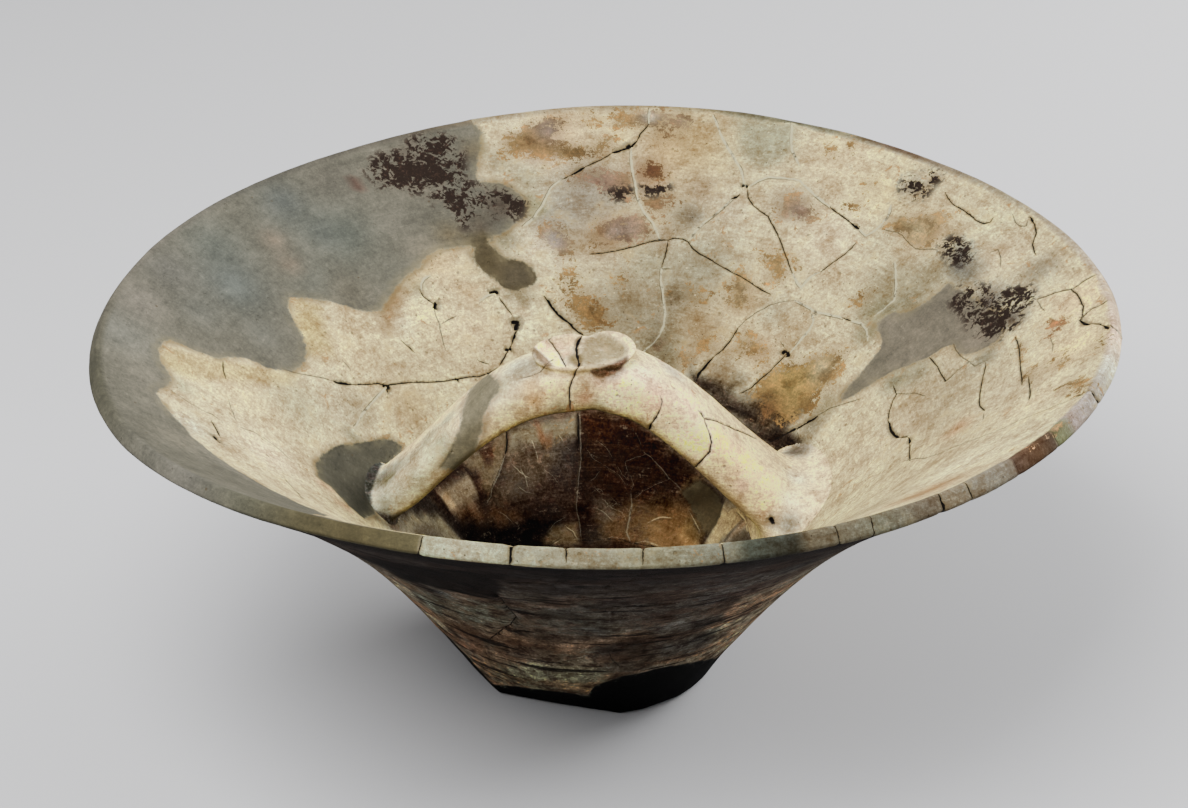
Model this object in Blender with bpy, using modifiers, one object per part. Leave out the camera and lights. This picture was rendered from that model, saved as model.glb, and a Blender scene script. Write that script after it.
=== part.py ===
"""Spinning bowl: one fired-clay vessel with a strap handle luted inside it.

The wall is a turned profile that flares from a small foot to a wide rim, and it leans and
wanders as a hand-made pot does. A strap arches across the inside from wall to wall and
carries a small oval thread dish on its crown. Metres, +Z up, the origin at the middle of
the foot. +X runs along the strap.
"""

import math

import bmesh
import bpy
from mathutils import Vector
from mathutils.geometry import interpolate_bezier

LEFT, RIGHT = -1, 1

# Vessel
RIM_DIAMETER = 0.470
RIM_HEIGHT = 0.1838
FOOT_DIAMETER = 0.1235
WALL_AT_RIM = 0.0080
WALL_AT_FOOT = 0.0155
FLOOR_THICKNESS = 0.020
FLOOR_ROUND = 0.018
FOOT_EDGE_ROUND = 0.0025
LIP_EDGE_ROUND = 0.0018
EDGE_FULLNESS = 0.6  # how far a rounded corner is drawn towards its sharp point
FLOOR_FULLNESS = 0.55

# The flare of the outside: how far each end runs on straight, up and outwards
FOOT_FLARE_UP = 0.0972
FOOT_FLARE_OUT = 0.0528
RIM_FLARE_UP = 0.0400
RIM_FLARE_OUT = 0.0560

# What the hand and the kiln did to the round, its lobes as (count, cosine, sine) shares
LEAN = 0.0078
RIM_TILT = 0.0254
RIM_OUT_OF_ROUND = 0.0018
RIM_LOBES = ((2, 0.11, 0.21), (3, -0.84, -0.51), (4, 0.11, 0.36), (5, 0.21, -0.18))
RIM_WAVE = 0.0024
WAVE_LOBES = ((2, -0.84, -0.56), (3, 0.07, 0.02), (4, 0.30, -0.32), (5, -0.02, 0.20))

# The made-up foot is trimmed by flats: (direction in degrees, depth of the cut)
FOOT_FLATS = ((-150, 0.0030), (-107, 0.0084), (-57, 0.0008), (8, 0.0020), (72, 0.0030), (135, 0.0015))
FOOT_FLATS_FADE = 0.030
FOOT_FLATS_FADE_POWER = 1.5
WANDER_POWER = 2  # the wander grows with this power of the height

# Strap handle: straight legs that round over at the crown, left and right
ARCH_HEIGHT = 0.1358
ARCH_CROWN_X = -0.0100
ARCH_SLOPE = {LEFT: 1.25, RIGHT: 1.165}
ARCH_POWER = 2.5
ARCH_ROUND = {LEFT: 0.053, RIGHT: 0.040}
CROWN_WIDTH = 0.037
CROWN_THICKNESS = 0.0170
CROWN_SWELL = 0.0080
CROWN_SWELL_REACH = {LEFT: 0.070, RIGHT: 0.072}
CROWN_Y = 0.0015
STRAP_SQUARENESS = 0.6  # 1 is an oval section, and less is squarer
LEG_WIDTH = {LEFT: 0.041, RIGHT: 0.056}
LEG_THICKNESS = {LEFT: 0.0170, RIGHT: 0.0228}
LEG_Y = {LEFT: 0.0050, RIGHT: 0.0085}
ROOT_WIDTH = {LEFT: 0.0385, RIGHT: 0.060}
ROOT_HEIGHT = {LEFT: 0.0155, RIGHT: 0.0260}
ROOT_FLARE = {LEFT: 0.014, RIGHT: 0.036}

# Thread dish on the crown: an oval saucer with a dip in front and a notch behind
DISH_LENGTH = 0.0480
DISH_WIDTH = 0.0345
DISH_STEM_LENGTH = 0.0360
DISH_STEM_WIDTH = 0.0300
DISH_RISE = 0.0115  # above the strap as it would be without its swell
DISH_LIP = 0.0042
DISH_HOLLOW = 0.0082
DISH_FRONT_DIP = 0.0030
DISH_NOTCH = 0.0026
DISH_NOTCH_LENGTH = 0.0053
DISH_X = -0.0088
DISH_SEAT = 0.0050
LIP_START, LIP_END = -45, 135  # degrees round the bead of the dish's lip

# How finely the curves are cut
WALL_STEPS = 80
OUTSIDE_STEPS = 15
CORNER_STEPS = 4
FLOOR_STEPS = 7
LEG_STEPS = 13
SECTION_STEPS = 20
DISH_STEPS = 28
HOLLOW_STEPS = 5

rim_radius = RIM_DIAMETER / 2
foot_radius = FOOT_DIAMETER / 2


def clear_scene():
    for obj in list(bpy.data.objects):
        bpy.data.objects.remove(obj, do_unlink=True)


def new_collection(name):
    made = bpy.data.collections.new(name)
    bpy.context.scene.collection.children.link(made)
    return made


def clay_material():
    made = bpy.data.materials.new("fired_clay")
    made.use_nodes = True
    shader = made.node_tree.nodes["Principled BSDF"]
    shader.inputs["Base Color"].default_value = (0.50, 0.42, 0.29, 1)
    shader.inputs["Roughness"].default_value = 0.85
    shader.inputs["Metallic"].default_value = 0
    return made


def outside_curve():
    """The outside of the wall as (radius, height) points, foot to rim."""
    foot = Vector((foot_radius, 0))
    rim = Vector((rim_radius, RIM_HEIGHT))
    foot_handle = foot + Vector((FOOT_FLARE_OUT, FOOT_FLARE_UP))
    rim_handle = rim - Vector((RIM_FLARE_OUT, RIM_FLARE_UP))
    return interpolate_bezier(foot, foot_handle, rim_handle, rim, OUTSIDE_STEPS)


def inwards(points, i):
    """Square across the wall at one point of the outside, towards the inside."""
    along = points[min(i + 1, len(points) - 1)] - points[max(i - 1, 0)]
    return Vector((-along.y, along.x)).normalized()


def inside_curve(outside):
    """The inside of the wall, foot to rim, one point for each point of the outside."""
    inside = []
    for i, point in enumerate(outside):
        share = i / (len(outside) - 1)
        wall = WALL_AT_FOOT + (WALL_AT_RIM - WALL_AT_FOOT) * share
        inside.append(point + inwards(outside, i) * wall)
    return inside


def rounded(before, corner, after, reach):
    """A corner of the profile turned into a short curve."""
    start = corner + (before - corner).normalized() * reach
    end = corner + (after - corner).normalized() * reach
    start_handle, end_handle = start.lerp(corner, EDGE_FULLNESS), end.lerp(corner, EDGE_FULLNESS)
    return interpolate_bezier(start, start_handle, end_handle, end, CORNER_STEPS)


def floor_curve(side):
    """The rounded floor, from its middle up to the lowest point of the side."""
    middle = Vector((0, FLOOR_THICKNESS))
    run = (side[0] - side[1]).normalized()
    drop = (side[0].y - FLOOR_THICKNESS) / -run.y
    corner = side[0] + run * drop
    return interpolate_bezier(middle, corner, side[0] + run * drop * FLOOR_FULLNESS, side[0], FLOOR_STEPS)


def wall_profile():
    """The turned section from the middle of the floor, over the lip and down the outside."""
    outside = outside_curve()
    side = [p for p in inside_curve(outside) if p.y > FLOOR_THICKNESS + FLOOR_ROUND]
    lip_inner = rounded(side[-2], side[-1], outside[-1], LIP_EDGE_ROUND)
    lip_outer = rounded(side[-1], outside[-1], outside[-2], LIP_EDGE_ROUND)
    middle = Vector((0, 0))
    foot_edge = rounded(outside[1], outside[0], middle, FOOT_EDGE_ROUND)
    up_inside = floor_curve(side) + side[1:-1]
    down_outside = outside[-2:0:-1]
    return up_inside + lip_inner + lip_outer + down_outside + foot_edge + [middle]


def inner_radius(height):
    """How far the inside of the wall is from the middle at a height above the floor's round."""
    inside = inside_curve(outside_curve())
    for low, high in zip(inside, inside[1:]):
        if low.y <= height <= high.y:
            return low.x + (high.x - low.x) * (height - low.y) / (high.y - low.y)
    return inside[0].x if height < inside[0].y else inside[-1].x


def lobes(shares, angle):
    return sum(c * math.cos(n * angle) + s * math.sin(n * angle) for n, c, s in shares)


def foot_trim(x, y, z):
    """How far the flats take a point of the foot inwards."""
    fade = max(0, 1 - z / FOOT_FLATS_FADE) ** FOOT_FLATS_FADE_POWER
    radius = math.hypot(x, y)
    angle = math.atan2(y, x)
    trim = 0
    for direction, depth in FOOT_FLATS:
        towards = math.cos(angle - math.radians(direction))
        if towards > 0:
            trim = max(trim, radius - (foot_radius - depth) * radius / foot_radius / towards)
    return trim * fade


def lean_and_wander(mesh):
    """Moves the points of a true round bowl to where the fired one has them."""
    for vertex in mesh.vertices:
        x, y, z = vertex.co
        share = min(max(z / RIM_HEIGHT, 0), 1)
        wander = share**WANDER_POWER
        radius = math.hypot(x, y)
        angle = math.atan2(y, x)
        outwards = RIM_OUT_OF_ROUND * wander * lobes(RIM_LOBES, angle) - foot_trim(x, y, z)
        rise = RIM_WAVE * wander * lobes(WAVE_LOBES, angle) * min(radius / rim_radius, 1)
        x, y = x + outwards * math.cos(angle), y + outwards * math.sin(angle)
        vertex.co = (x + LEAN * share, y, z + rise + RIM_TILT * x * share)


def finished_mesh(obj):
    """The object's mesh with its modifiers applied. The object itself is removed."""
    graph = bpy.context.evaluated_depsgraph_get()
    mesh = bpy.data.meshes.new_from_object(obj.evaluated_get(graph))
    bpy.data.objects.remove(obj, do_unlink=True)
    return mesh


def turned(name, profile, steps):
    """A mesh turned round +Z from a profile of (radius, height) points, closed on the axis."""
    mesh = bpy.data.meshes.new(name)
    edges = [(i, i + 1) for i in range(len(profile) - 1)]
    mesh.from_pydata([(radius, 0, height) for radius, height in profile], edges, [])
    obj = bpy.data.objects.new(name, mesh)
    bpy.context.scene.collection.objects.link(obj)
    screw = obj.modifiers.new("turn", "SCREW")
    screw.steps = screw.render_steps = steps
    screw.use_merge_vertices = True
    screw.merge_threshold = 1e-5
    return finished_mesh(obj)


def lofted(name, rings):
    """A mesh through rings of as many points each, closed at both ends."""
    form = bmesh.new()
    made = [[form.verts.new(point) for point in ring] for ring in rings]
    for low, high in zip(made, made[1:]):
        for i in range(len(low)):
            j = (i + 1) % len(low)
            form.faces.new((low[i], low[j], high[j], high[i]))
    form.faces.new(made[0])
    form.faces.new(made[-1])
    bmesh.ops.recalc_face_normals(form, faces=form.faces)
    mesh = bpy.data.meshes.new(name)
    form.to_mesh(mesh)
    form.free()
    return mesh


def along_leg(crown, leg, share):
    """A size that goes from its value at the crown to its value down the leg."""
    return crown + (leg - crown) * share**2 * (3 - 2 * share)


def strap_thickness(side, along, share):
    """How thick the strap is, along metres from the crown, its swell under the dish with it."""
    near = max(0, 1 - (along / CROWN_SWELL_REACH[side]) ** 2)
    return along_leg(CROWN_THICKNESS, LEG_THICKNESS[side], share) + CROWN_SWELL * near**2


def arch_point(side, along, share):
    """Middle of the strap, along metres from the crown towards one side, and the way up across it."""
    turn = ARCH_ROUND[side] ** ARCH_POWER
    fall = (turn + (ARCH_SLOPE[side] * along) ** ARCH_POWER) ** (1 / ARCH_POWER)
    slope = ARCH_SLOPE[side] ** ARCH_POWER * (along / fall) ** (ARCH_POWER - 1)
    middle_y = along_leg(CROWN_Y, LEG_Y[side], share)
    under = Vector((ARCH_CROWN_X + side * along, middle_y, ARCH_HEIGHT + ARCH_ROUND[side] - fall))
    across = Vector((side * slope, 0, 1)).normalized()
    return under + across * strap_thickness(side, along, share) / 2, across


def arch_reach(side):
    """How far from the crown the strap's middle meets the inside of the wall."""
    near, far = 0.0, rim_radius
    for _ in range(40):
        along = (near + far) / 2
        point, _ = arch_point(side, along, 1)
        if math.hypot(point.x, point.y) < inner_radius(point.z):
            near = along
        else:
            far = along
    return near


def oval(i, width, height, flatness):
    """One point of a rounded oblong, as (aside, over)."""
    turn = math.tau * i / SECTION_STEPS
    aside = math.copysign(abs(math.cos(turn)) ** flatness, math.cos(turn))
    over = math.copysign(abs(math.sin(turn)) ** flatness, math.sin(turn))
    return aside * width / 2, over * height / 2


def strap_section(side, along, share):
    """A rounded oblong ring square across the strap."""
    middle, across = arch_point(side, along, share)
    width = along_leg(CROWN_WIDTH, LEG_WIDTH[side], share)
    thickness = strap_thickness(side, along, share)
    ring = []
    for i in range(SECTION_STEPS):
        aside, over = oval(i, width, thickness, STRAP_SQUARENESS)
        ring.append(middle + across * over + Vector((0, aside, 0)))
    return ring


def root_section(side, reach):
    """The strap's end spread on the wall, as an oval sunk halfway into it."""
    middle, _ = arch_point(side, reach, 1)
    sunk = (WALL_AT_RIM + WALL_AT_FOOT) / 4
    ring = []
    for i in range(SECTION_STEPS):
        aside, over = oval(i, ROOT_WIDTH[side], ROOT_HEIGHT[side], 1)
        y, z = middle.y + aside, middle.z + over
        outwards = math.sqrt(max((inner_radius(z) + sunk) ** 2 - y**2, 0))
        ring.append(Vector((side * outwards, y, z)))
    return ring


def strap_leg(side):
    """The rings of one leg, crown to wall."""
    reach = arch_reach(side)
    root = root_section(side, reach)
    flare_from = 1 - ROOT_FLARE[side] / reach
    leg = []
    for i in range(LEG_STEPS + 1):
        share = i / LEG_STEPS
        spread = max(0, (share - flare_from) / (1 - flare_from)) ** 2
        section = strap_section(side, reach * share, share)
        leg.append([a.lerp(b, spread) for a, b in zip(section, root)])
    return leg


def strap_mesh():
    left, right = strap_leg(LEFT), strap_leg(RIGHT)
    return lofted("strap", left[::-1] + right[1:])


def dish_levels():
    """The dish from its seat, over the lip and into the hollow, as (half length, half width, height)."""
    half_length, half_width, bead = DISH_LENGTH / 2, DISH_WIDTH / 2, DISH_LIP / 2
    levels = [(DISH_STEM_LENGTH / 2, DISH_STEM_WIDTH / 2, height) for height in (-DISH_SEAT, 0)]
    for i in range(CORNER_STEPS + 1):
        turn = math.radians(LIP_START + (LIP_END - LIP_START) * i / CORNER_STEPS)
        inset = bead * (1 - math.cos(turn))
        height = DISH_RISE - bead * (1 - math.sin(turn))
        levels.append((half_length - inset, half_width - inset, height))
    edge_length, edge_width, edge_height = levels[-1]
    for i in range(HOLLOW_STEPS, 0, -1):
        share = i / (HOLLOW_STEPS + 1)
        depth = DISH_HOLLOW * (1 - share**2)
        levels.append((edge_length * share, edge_width * share, edge_height - depth))
    return levels


def dish_mesh():
    seat = ARCH_HEIGHT + CROWN_THICKNESS
    rings = []
    for half_length, half_width, height in dish_levels():
        ring = []
        for i in range(DISH_STEPS):
            turn = math.tau * i / DISH_STEPS
            x, y = half_length * math.cos(turn), half_width * math.sin(turn)
            dip = DISH_FRONT_DIP * max(0, -y) * 2 / DISH_WIDTH
            notch = DISH_NOTCH * math.exp(-((x / DISH_NOTCH_LENGTH) ** 2)) * max(0, y) * 2 / DISH_WIDTH
            z = height - (dip + notch) * max(height, 0) / DISH_RISE
            ring.append(Vector((DISH_X + x, CROWN_Y + y, seat + z)))
        rings.append(ring)
    return lofted("dish", rings)


def placed(name, mesh, collection):
    lean_and_wander(mesh)
    mesh.shade_smooth()
    mesh.set_sharp_from_angle(angle=math.radians(50))
    obj = bpy.data.objects.new(name, mesh)
    collection.objects.link(obj)
    return obj


def join(target, other):
    other.hide_render = True
    other.display_type = "WIRE"
    union = target.modifiers.new(other.name, "BOOLEAN")
    union.operation = "UNION"
    union.solver = "EXACT"
    union.object = other


clear_scene()
parts = new_collection("spinning_bowl")
helpers = new_collection("clay_luted_on")
bowl = placed("bowl", turned("bowl", wall_profile(), WALL_STEPS), parts)
bowl.data.materials.append(clay_material())
join(bowl, placed("strap", strap_mesh(), helpers))
join(bowl, placed("dish", dish_mesh(), helpers))
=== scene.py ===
"""The looks of a repaired spinning bowl: its wall, and the strap with a thread dish inside it."""

import math

import bmesh
import bpy
import numpy as np
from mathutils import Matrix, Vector, noise
from mathutils.bvhtree import BVHTree
from mathutils.geometry import interpolate_bezier
from mathutils.kdtree import KDTree


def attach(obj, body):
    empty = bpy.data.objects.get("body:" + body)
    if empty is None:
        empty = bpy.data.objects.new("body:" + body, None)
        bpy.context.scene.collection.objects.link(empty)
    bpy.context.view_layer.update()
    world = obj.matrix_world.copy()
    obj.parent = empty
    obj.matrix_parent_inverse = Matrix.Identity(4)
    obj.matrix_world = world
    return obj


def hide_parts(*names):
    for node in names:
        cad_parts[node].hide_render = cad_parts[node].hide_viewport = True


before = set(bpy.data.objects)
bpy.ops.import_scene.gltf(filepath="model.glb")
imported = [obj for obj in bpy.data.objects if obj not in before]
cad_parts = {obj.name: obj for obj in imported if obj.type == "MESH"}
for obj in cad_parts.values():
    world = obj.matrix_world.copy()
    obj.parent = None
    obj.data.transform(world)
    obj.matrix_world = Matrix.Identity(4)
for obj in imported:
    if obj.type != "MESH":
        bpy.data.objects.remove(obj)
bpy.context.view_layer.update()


# Camera
# It stands in front of the bowl and looks down into it, square to the strap. Marks that the
# photograph shows are laid on the clay through their pixels, from this eye.
PHOTO_WIDTH, PHOTO_HEIGHT = 1188, 808
EYE = Vector((0.0019, -1.1597, 0.74527))
AIM = Vector((0.0019, 0, 0.13466))
HALF_VIEW = math.radians(12)
SENSOR = 36

look = (AIM - EYE).to_track_quat("-Z", "Y")
camera_data = bpy.data.cameras.new("camera")
camera_data.sensor_width = SENSOR
camera_data.lens = SENSOR / 2 / math.tan(HALF_VIEW)
camera_data.clip_start = 0.01
camera = bpy.data.objects.new("camera", camera_data)
camera.location = EYE
camera.rotation_euler = look.to_euler()
bpy.context.scene.collection.objects.link(camera)
bpy.context.scene.camera = camera


def sight(x, y):
    """The direction from the eye through a pixel of the photograph."""
    reach = math.tan(HALF_VIEW) / (PHOTO_WIDTH / 2)
    return look @ Vector(((x - PHOTO_WIDTH / 2) * reach, (PHOTO_HEIGHT / 2 - y) * reach, -1))


# Wall of the vessel
# One coarse clay body, turned and smoothed by hand, broken into sherds, glued, and made whole
# with grey plaster. It is a turned profile that leans and wanders, with the breaks cut into it.
RIM_DIAMETER = 0.470
RIM_HEIGHT = 0.1838
FOOT_DIAMETER = 0.1235
WALL_AT_RIM = 0.0080
WALL_AT_FOOT = 0.0155
FLOOR_THICKNESS = 0.020
FLOOR_ROUND = 0.018
FOOT_EDGE_ROUND = 0.0025
LIP_EDGE_ROUND = 0.0018
EDGE_FULLNESS = 0.6
FLOOR_FULLNESS = 0.55
FOOT_FLARE = Vector((0.0528, 0.0972))
RIM_FLARE = Vector((0.0560, 0.0400))
LEAN = 0.0078
RIM_TILT = 0.0254
RIM_OUT_OF_ROUND = 0.0018
RIM_LOBES = ((2, 0.11, 0.21), (3, -0.84, -0.51), (4, 0.11, 0.36), (5, 0.21, -0.18))
RIM_WAVE = 0.0024
WAVE_LOBES = ((2, -0.84, -0.56), (3, 0.07, 0.02), (4, 0.30, -0.32), (5, -0.02, 0.20))
FOOT_FLATS = ((-150, 0.0030), (-107, 0.0084), (-57, 0.0008), (8, 0.0020), (72, 0.0030), (135, 0.0015))
FOOT_FLATS_FADE = 0.030
FOOT_FLATS_FADE_POWER = 1.5
WANDER_POWER = 2
WALL_STEPS = 240
OUTSIDE_STEPS = 44
FLOOR_STEPS = 12
CORNER_STEPS = 5
AXIS_MERGE = 1e-5
LEAST_FACING = 0.01
MILLIMETRES = 1000  # in a metre

rim_radius = RIM_DIAMETER / 2
foot_radius = FOOT_DIAMETER / 2


def deselect_all():
    bpy.ops.object.select_all(action="DESELECT")


def outside_curve():
    """The outside of the wall as (radius, height) points, foot to rim."""
    foot = Vector((foot_radius, 0))
    rim = Vector((rim_radius, RIM_HEIGHT))
    return interpolate_bezier(foot, foot + FOOT_FLARE, rim - RIM_FLARE, rim, OUTSIDE_STEPS)


def inwards(points, i):
    """Square across the wall at one point of the outside, towards the inside."""
    along = points[min(i + 1, len(points) - 1)] - points[max(i - 1, 0)]
    return Vector((-along.y, along.x)).normalized()


def inside_curve(outside):
    """The inside of the wall, foot to rim, one point for each point of the outside."""
    inside = []
    for i, point in enumerate(outside):
        share = i / (len(outside) - 1)
        wall = WALL_AT_FOOT + (WALL_AT_RIM - WALL_AT_FOOT) * share
        inside.append(point + inwards(outside, i) * wall)
    return inside


def rounded(before, corner, after, reach):
    """A corner of the profile turned into a short curve."""
    start = corner + (before - corner).normalized() * reach
    end = corner + (after - corner).normalized() * reach
    start_handle, end_handle = start.lerp(corner, EDGE_FULLNESS), end.lerp(corner, EDGE_FULLNESS)
    return interpolate_bezier(start, start_handle, end_handle, end, CORNER_STEPS)


def floor_curve(side):
    """The rounded floor, from its middle up to the lowest point of the side."""
    middle = Vector((0, FLOOR_THICKNESS))
    run = (side[0] - side[1]).normalized()
    drop = (side[0].y - FLOOR_THICKNESS) / -run.y
    corner = side[0] + run * drop
    return interpolate_bezier(middle, corner, side[0] + run * drop * FLOOR_FULLNESS, side[0], FLOOR_STEPS)


def wall_profile():
    """The turned section, and each point's run along it from the middle of the lip, inside below 0."""
    outside = outside_curve()
    side = [p for p in inside_curve(outside) if p.y > FLOOR_THICKNESS + FLOOR_ROUND]
    lip_inner = rounded(side[-2], side[-1], outside[-1], LIP_EDGE_ROUND)
    lip_outer = rounded(side[-1], outside[-1], outside[-2], LIP_EDGE_ROUND)
    middle = Vector((0, 0))
    foot_edge = rounded(outside[1], outside[0], middle, FOOT_EDGE_ROUND)
    before_lip = floor_curve(side) + side[1:-1] + lip_inner
    after_lip = lip_outer + outside[-2:0:-1] + foot_edge + [middle]
    inner_run, outer_run = [], []
    reach = (lip_outer[0] - lip_inner[-1]).length / 2
    for here, above in zip(before_lip[::-1], [before_lip[-1]] + before_lip[::-1]):
        inner_run.append((inner_run[-1] if inner_run else -reach) - (here - above).length)
    for here, above in zip(after_lip, [after_lip[0]] + after_lip):
        outer_run.append((outer_run[-1] if outer_run else reach) + (here - above).length)
    return before_lip + after_lip, inner_run[::-1] + outer_run


def lobes(shares, angle):
    return sum(c * np.cos(n * angle) + s * np.sin(n * angle) for n, c, s in shares)


def foot_trim(radius, angle, z):
    """How far the flats take a point of the foot inwards."""
    fade = np.clip(1 - z / FOOT_FLATS_FADE, 0, 1) ** FOOT_FLATS_FADE_POWER
    trim = np.zeros_like(z)
    for direction, depth in FOOT_FLATS:
        towards = np.cos(angle - math.radians(direction))
        cut = radius - (foot_radius - depth) * radius / foot_radius / np.maximum(towards, LEAST_FACING)
        trim = np.where(towards > LEAST_FACING, np.maximum(trim, cut), trim)
    return trim * fade


def settled(points):
    """Points of a true round bowl, moved to where the fired one has them."""
    x, y, z = np.asarray(points, float).T
    share = np.clip(z / RIM_HEIGHT, 0, 1)
    wander = share**WANDER_POWER
    radius, angle = np.hypot(x, y), np.arctan2(y, x)
    outwards = RIM_OUT_OF_ROUND * wander * lobes(RIM_LOBES, angle) - foot_trim(radius, angle, z)
    rise = RIM_WAVE * wander * lobes(WAVE_LOBES, angle) * np.minimum(radius / rim_radius, 1)
    x, y = x + outwards * np.cos(angle), y + outwards * np.sin(angle)
    return np.stack([x + LEAN * share, y, z + rise + RIM_TILT * x * share], 1)


def read(mesh, name):
    """The places or the normals of all a mesh's vertices as an array."""
    values = np.empty(len(mesh.vertices) * 3)
    mesh.vertices.foreach_get(name, values)
    return values.reshape(-1, 3)


def write_attribute(mesh, name, values, kind="FLOAT"):
    """Stores one number, or one colour, on each vertex."""
    attribute = mesh.attributes.get(name) or mesh.attributes.new(name, kind, "POINT")
    attribute.data.foreach_set("value" if kind == "FLOAT" else "color", np.ascontiguousarray(values).ravel())


def read_attribute(mesh, name):
    values = np.empty(len(mesh.vertices), np.float32)
    mesh.attributes[name].data.foreach_get("value", values)
    return values.astype(float)


profile, runs = wall_profile()
deselect_all()
bpy.ops.mesh.primitive_circle_add(vertices=len(profile), radius=rim_radius, fill_type="NOTHING")
wall = bpy.context.object
wall.name = wall.data.name = "wall"
wall.data.vertices.foreach_set("co", [v for radius, height in profile for v in (radius, 0, height)])
write_attribute(wall.data, "run", np.array(runs, np.float32))
bpy.ops.object.mode_set(mode="EDIT")
turning = bmesh.from_edit_mesh(wall.data)
turning.verts.ensure_lookup_table()
along_axis = turning.edges.get((turning.verts[0], turning.verts[-1]))
turning.edges.remove(along_axis)
bmesh.update_edit_mesh(wall.data)
bpy.ops.mesh.select_all(action="SELECT")
bpy.ops.mesh.spin(steps=WALL_STEPS, angle=math.tau, use_auto_merge=True, center=(0, 0, 0), axis=(0, 0, 1))
bpy.ops.mesh.select_all(action="SELECT")
bpy.ops.mesh.remove_doubles(threshold=AXIS_MERGE)
bpy.ops.mesh.normals_make_consistent(inside=False)
bpy.ops.object.mode_set(mode="OBJECT")
wall.data.vertices.foreach_set("co", settled(read(wall.data, "co")).ravel())
wall.data.update()


# Breaks in the wall
# The sherds were glued edge to edge. Some joins gape and are dark, some are rubbed full of white
# filler, and fine cracks run over the faces. Each is a line of pixels, laid on the clay and sunk.
JOINS = {  # half width and depth in metres, darkness and whiteness
    "gap": (0.00062, 0.0011, 1.0, 0.0),
    "line": (0.00030, 0.0006, 0.85, 0.0),
    "joint": (0.00064, -0.0003, 0.10, 0.95),
    "hair": (0.00020, 0.0002, 0.48, 0.0),
    "scratch": (0.00028, 0.0001, 0.0, 0.90),
    "pit": (0.0011, 0.0018, 1.0, 0.0),
}
SAMPLE_PIXELS = 1.6
SAMPLE_LENGTH = 0.0007
WOBBLE = 0.55
WOBBLE_SCALE = 0.11
TAPER, TAPER_FROM = 0.004, 0.35
LEAST_LENGTH = 1e-12
MISS_STEP, MISS_TRIES = 1.0, 30
BOWL_MIDDLE_PIXEL = (586, 330)

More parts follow.
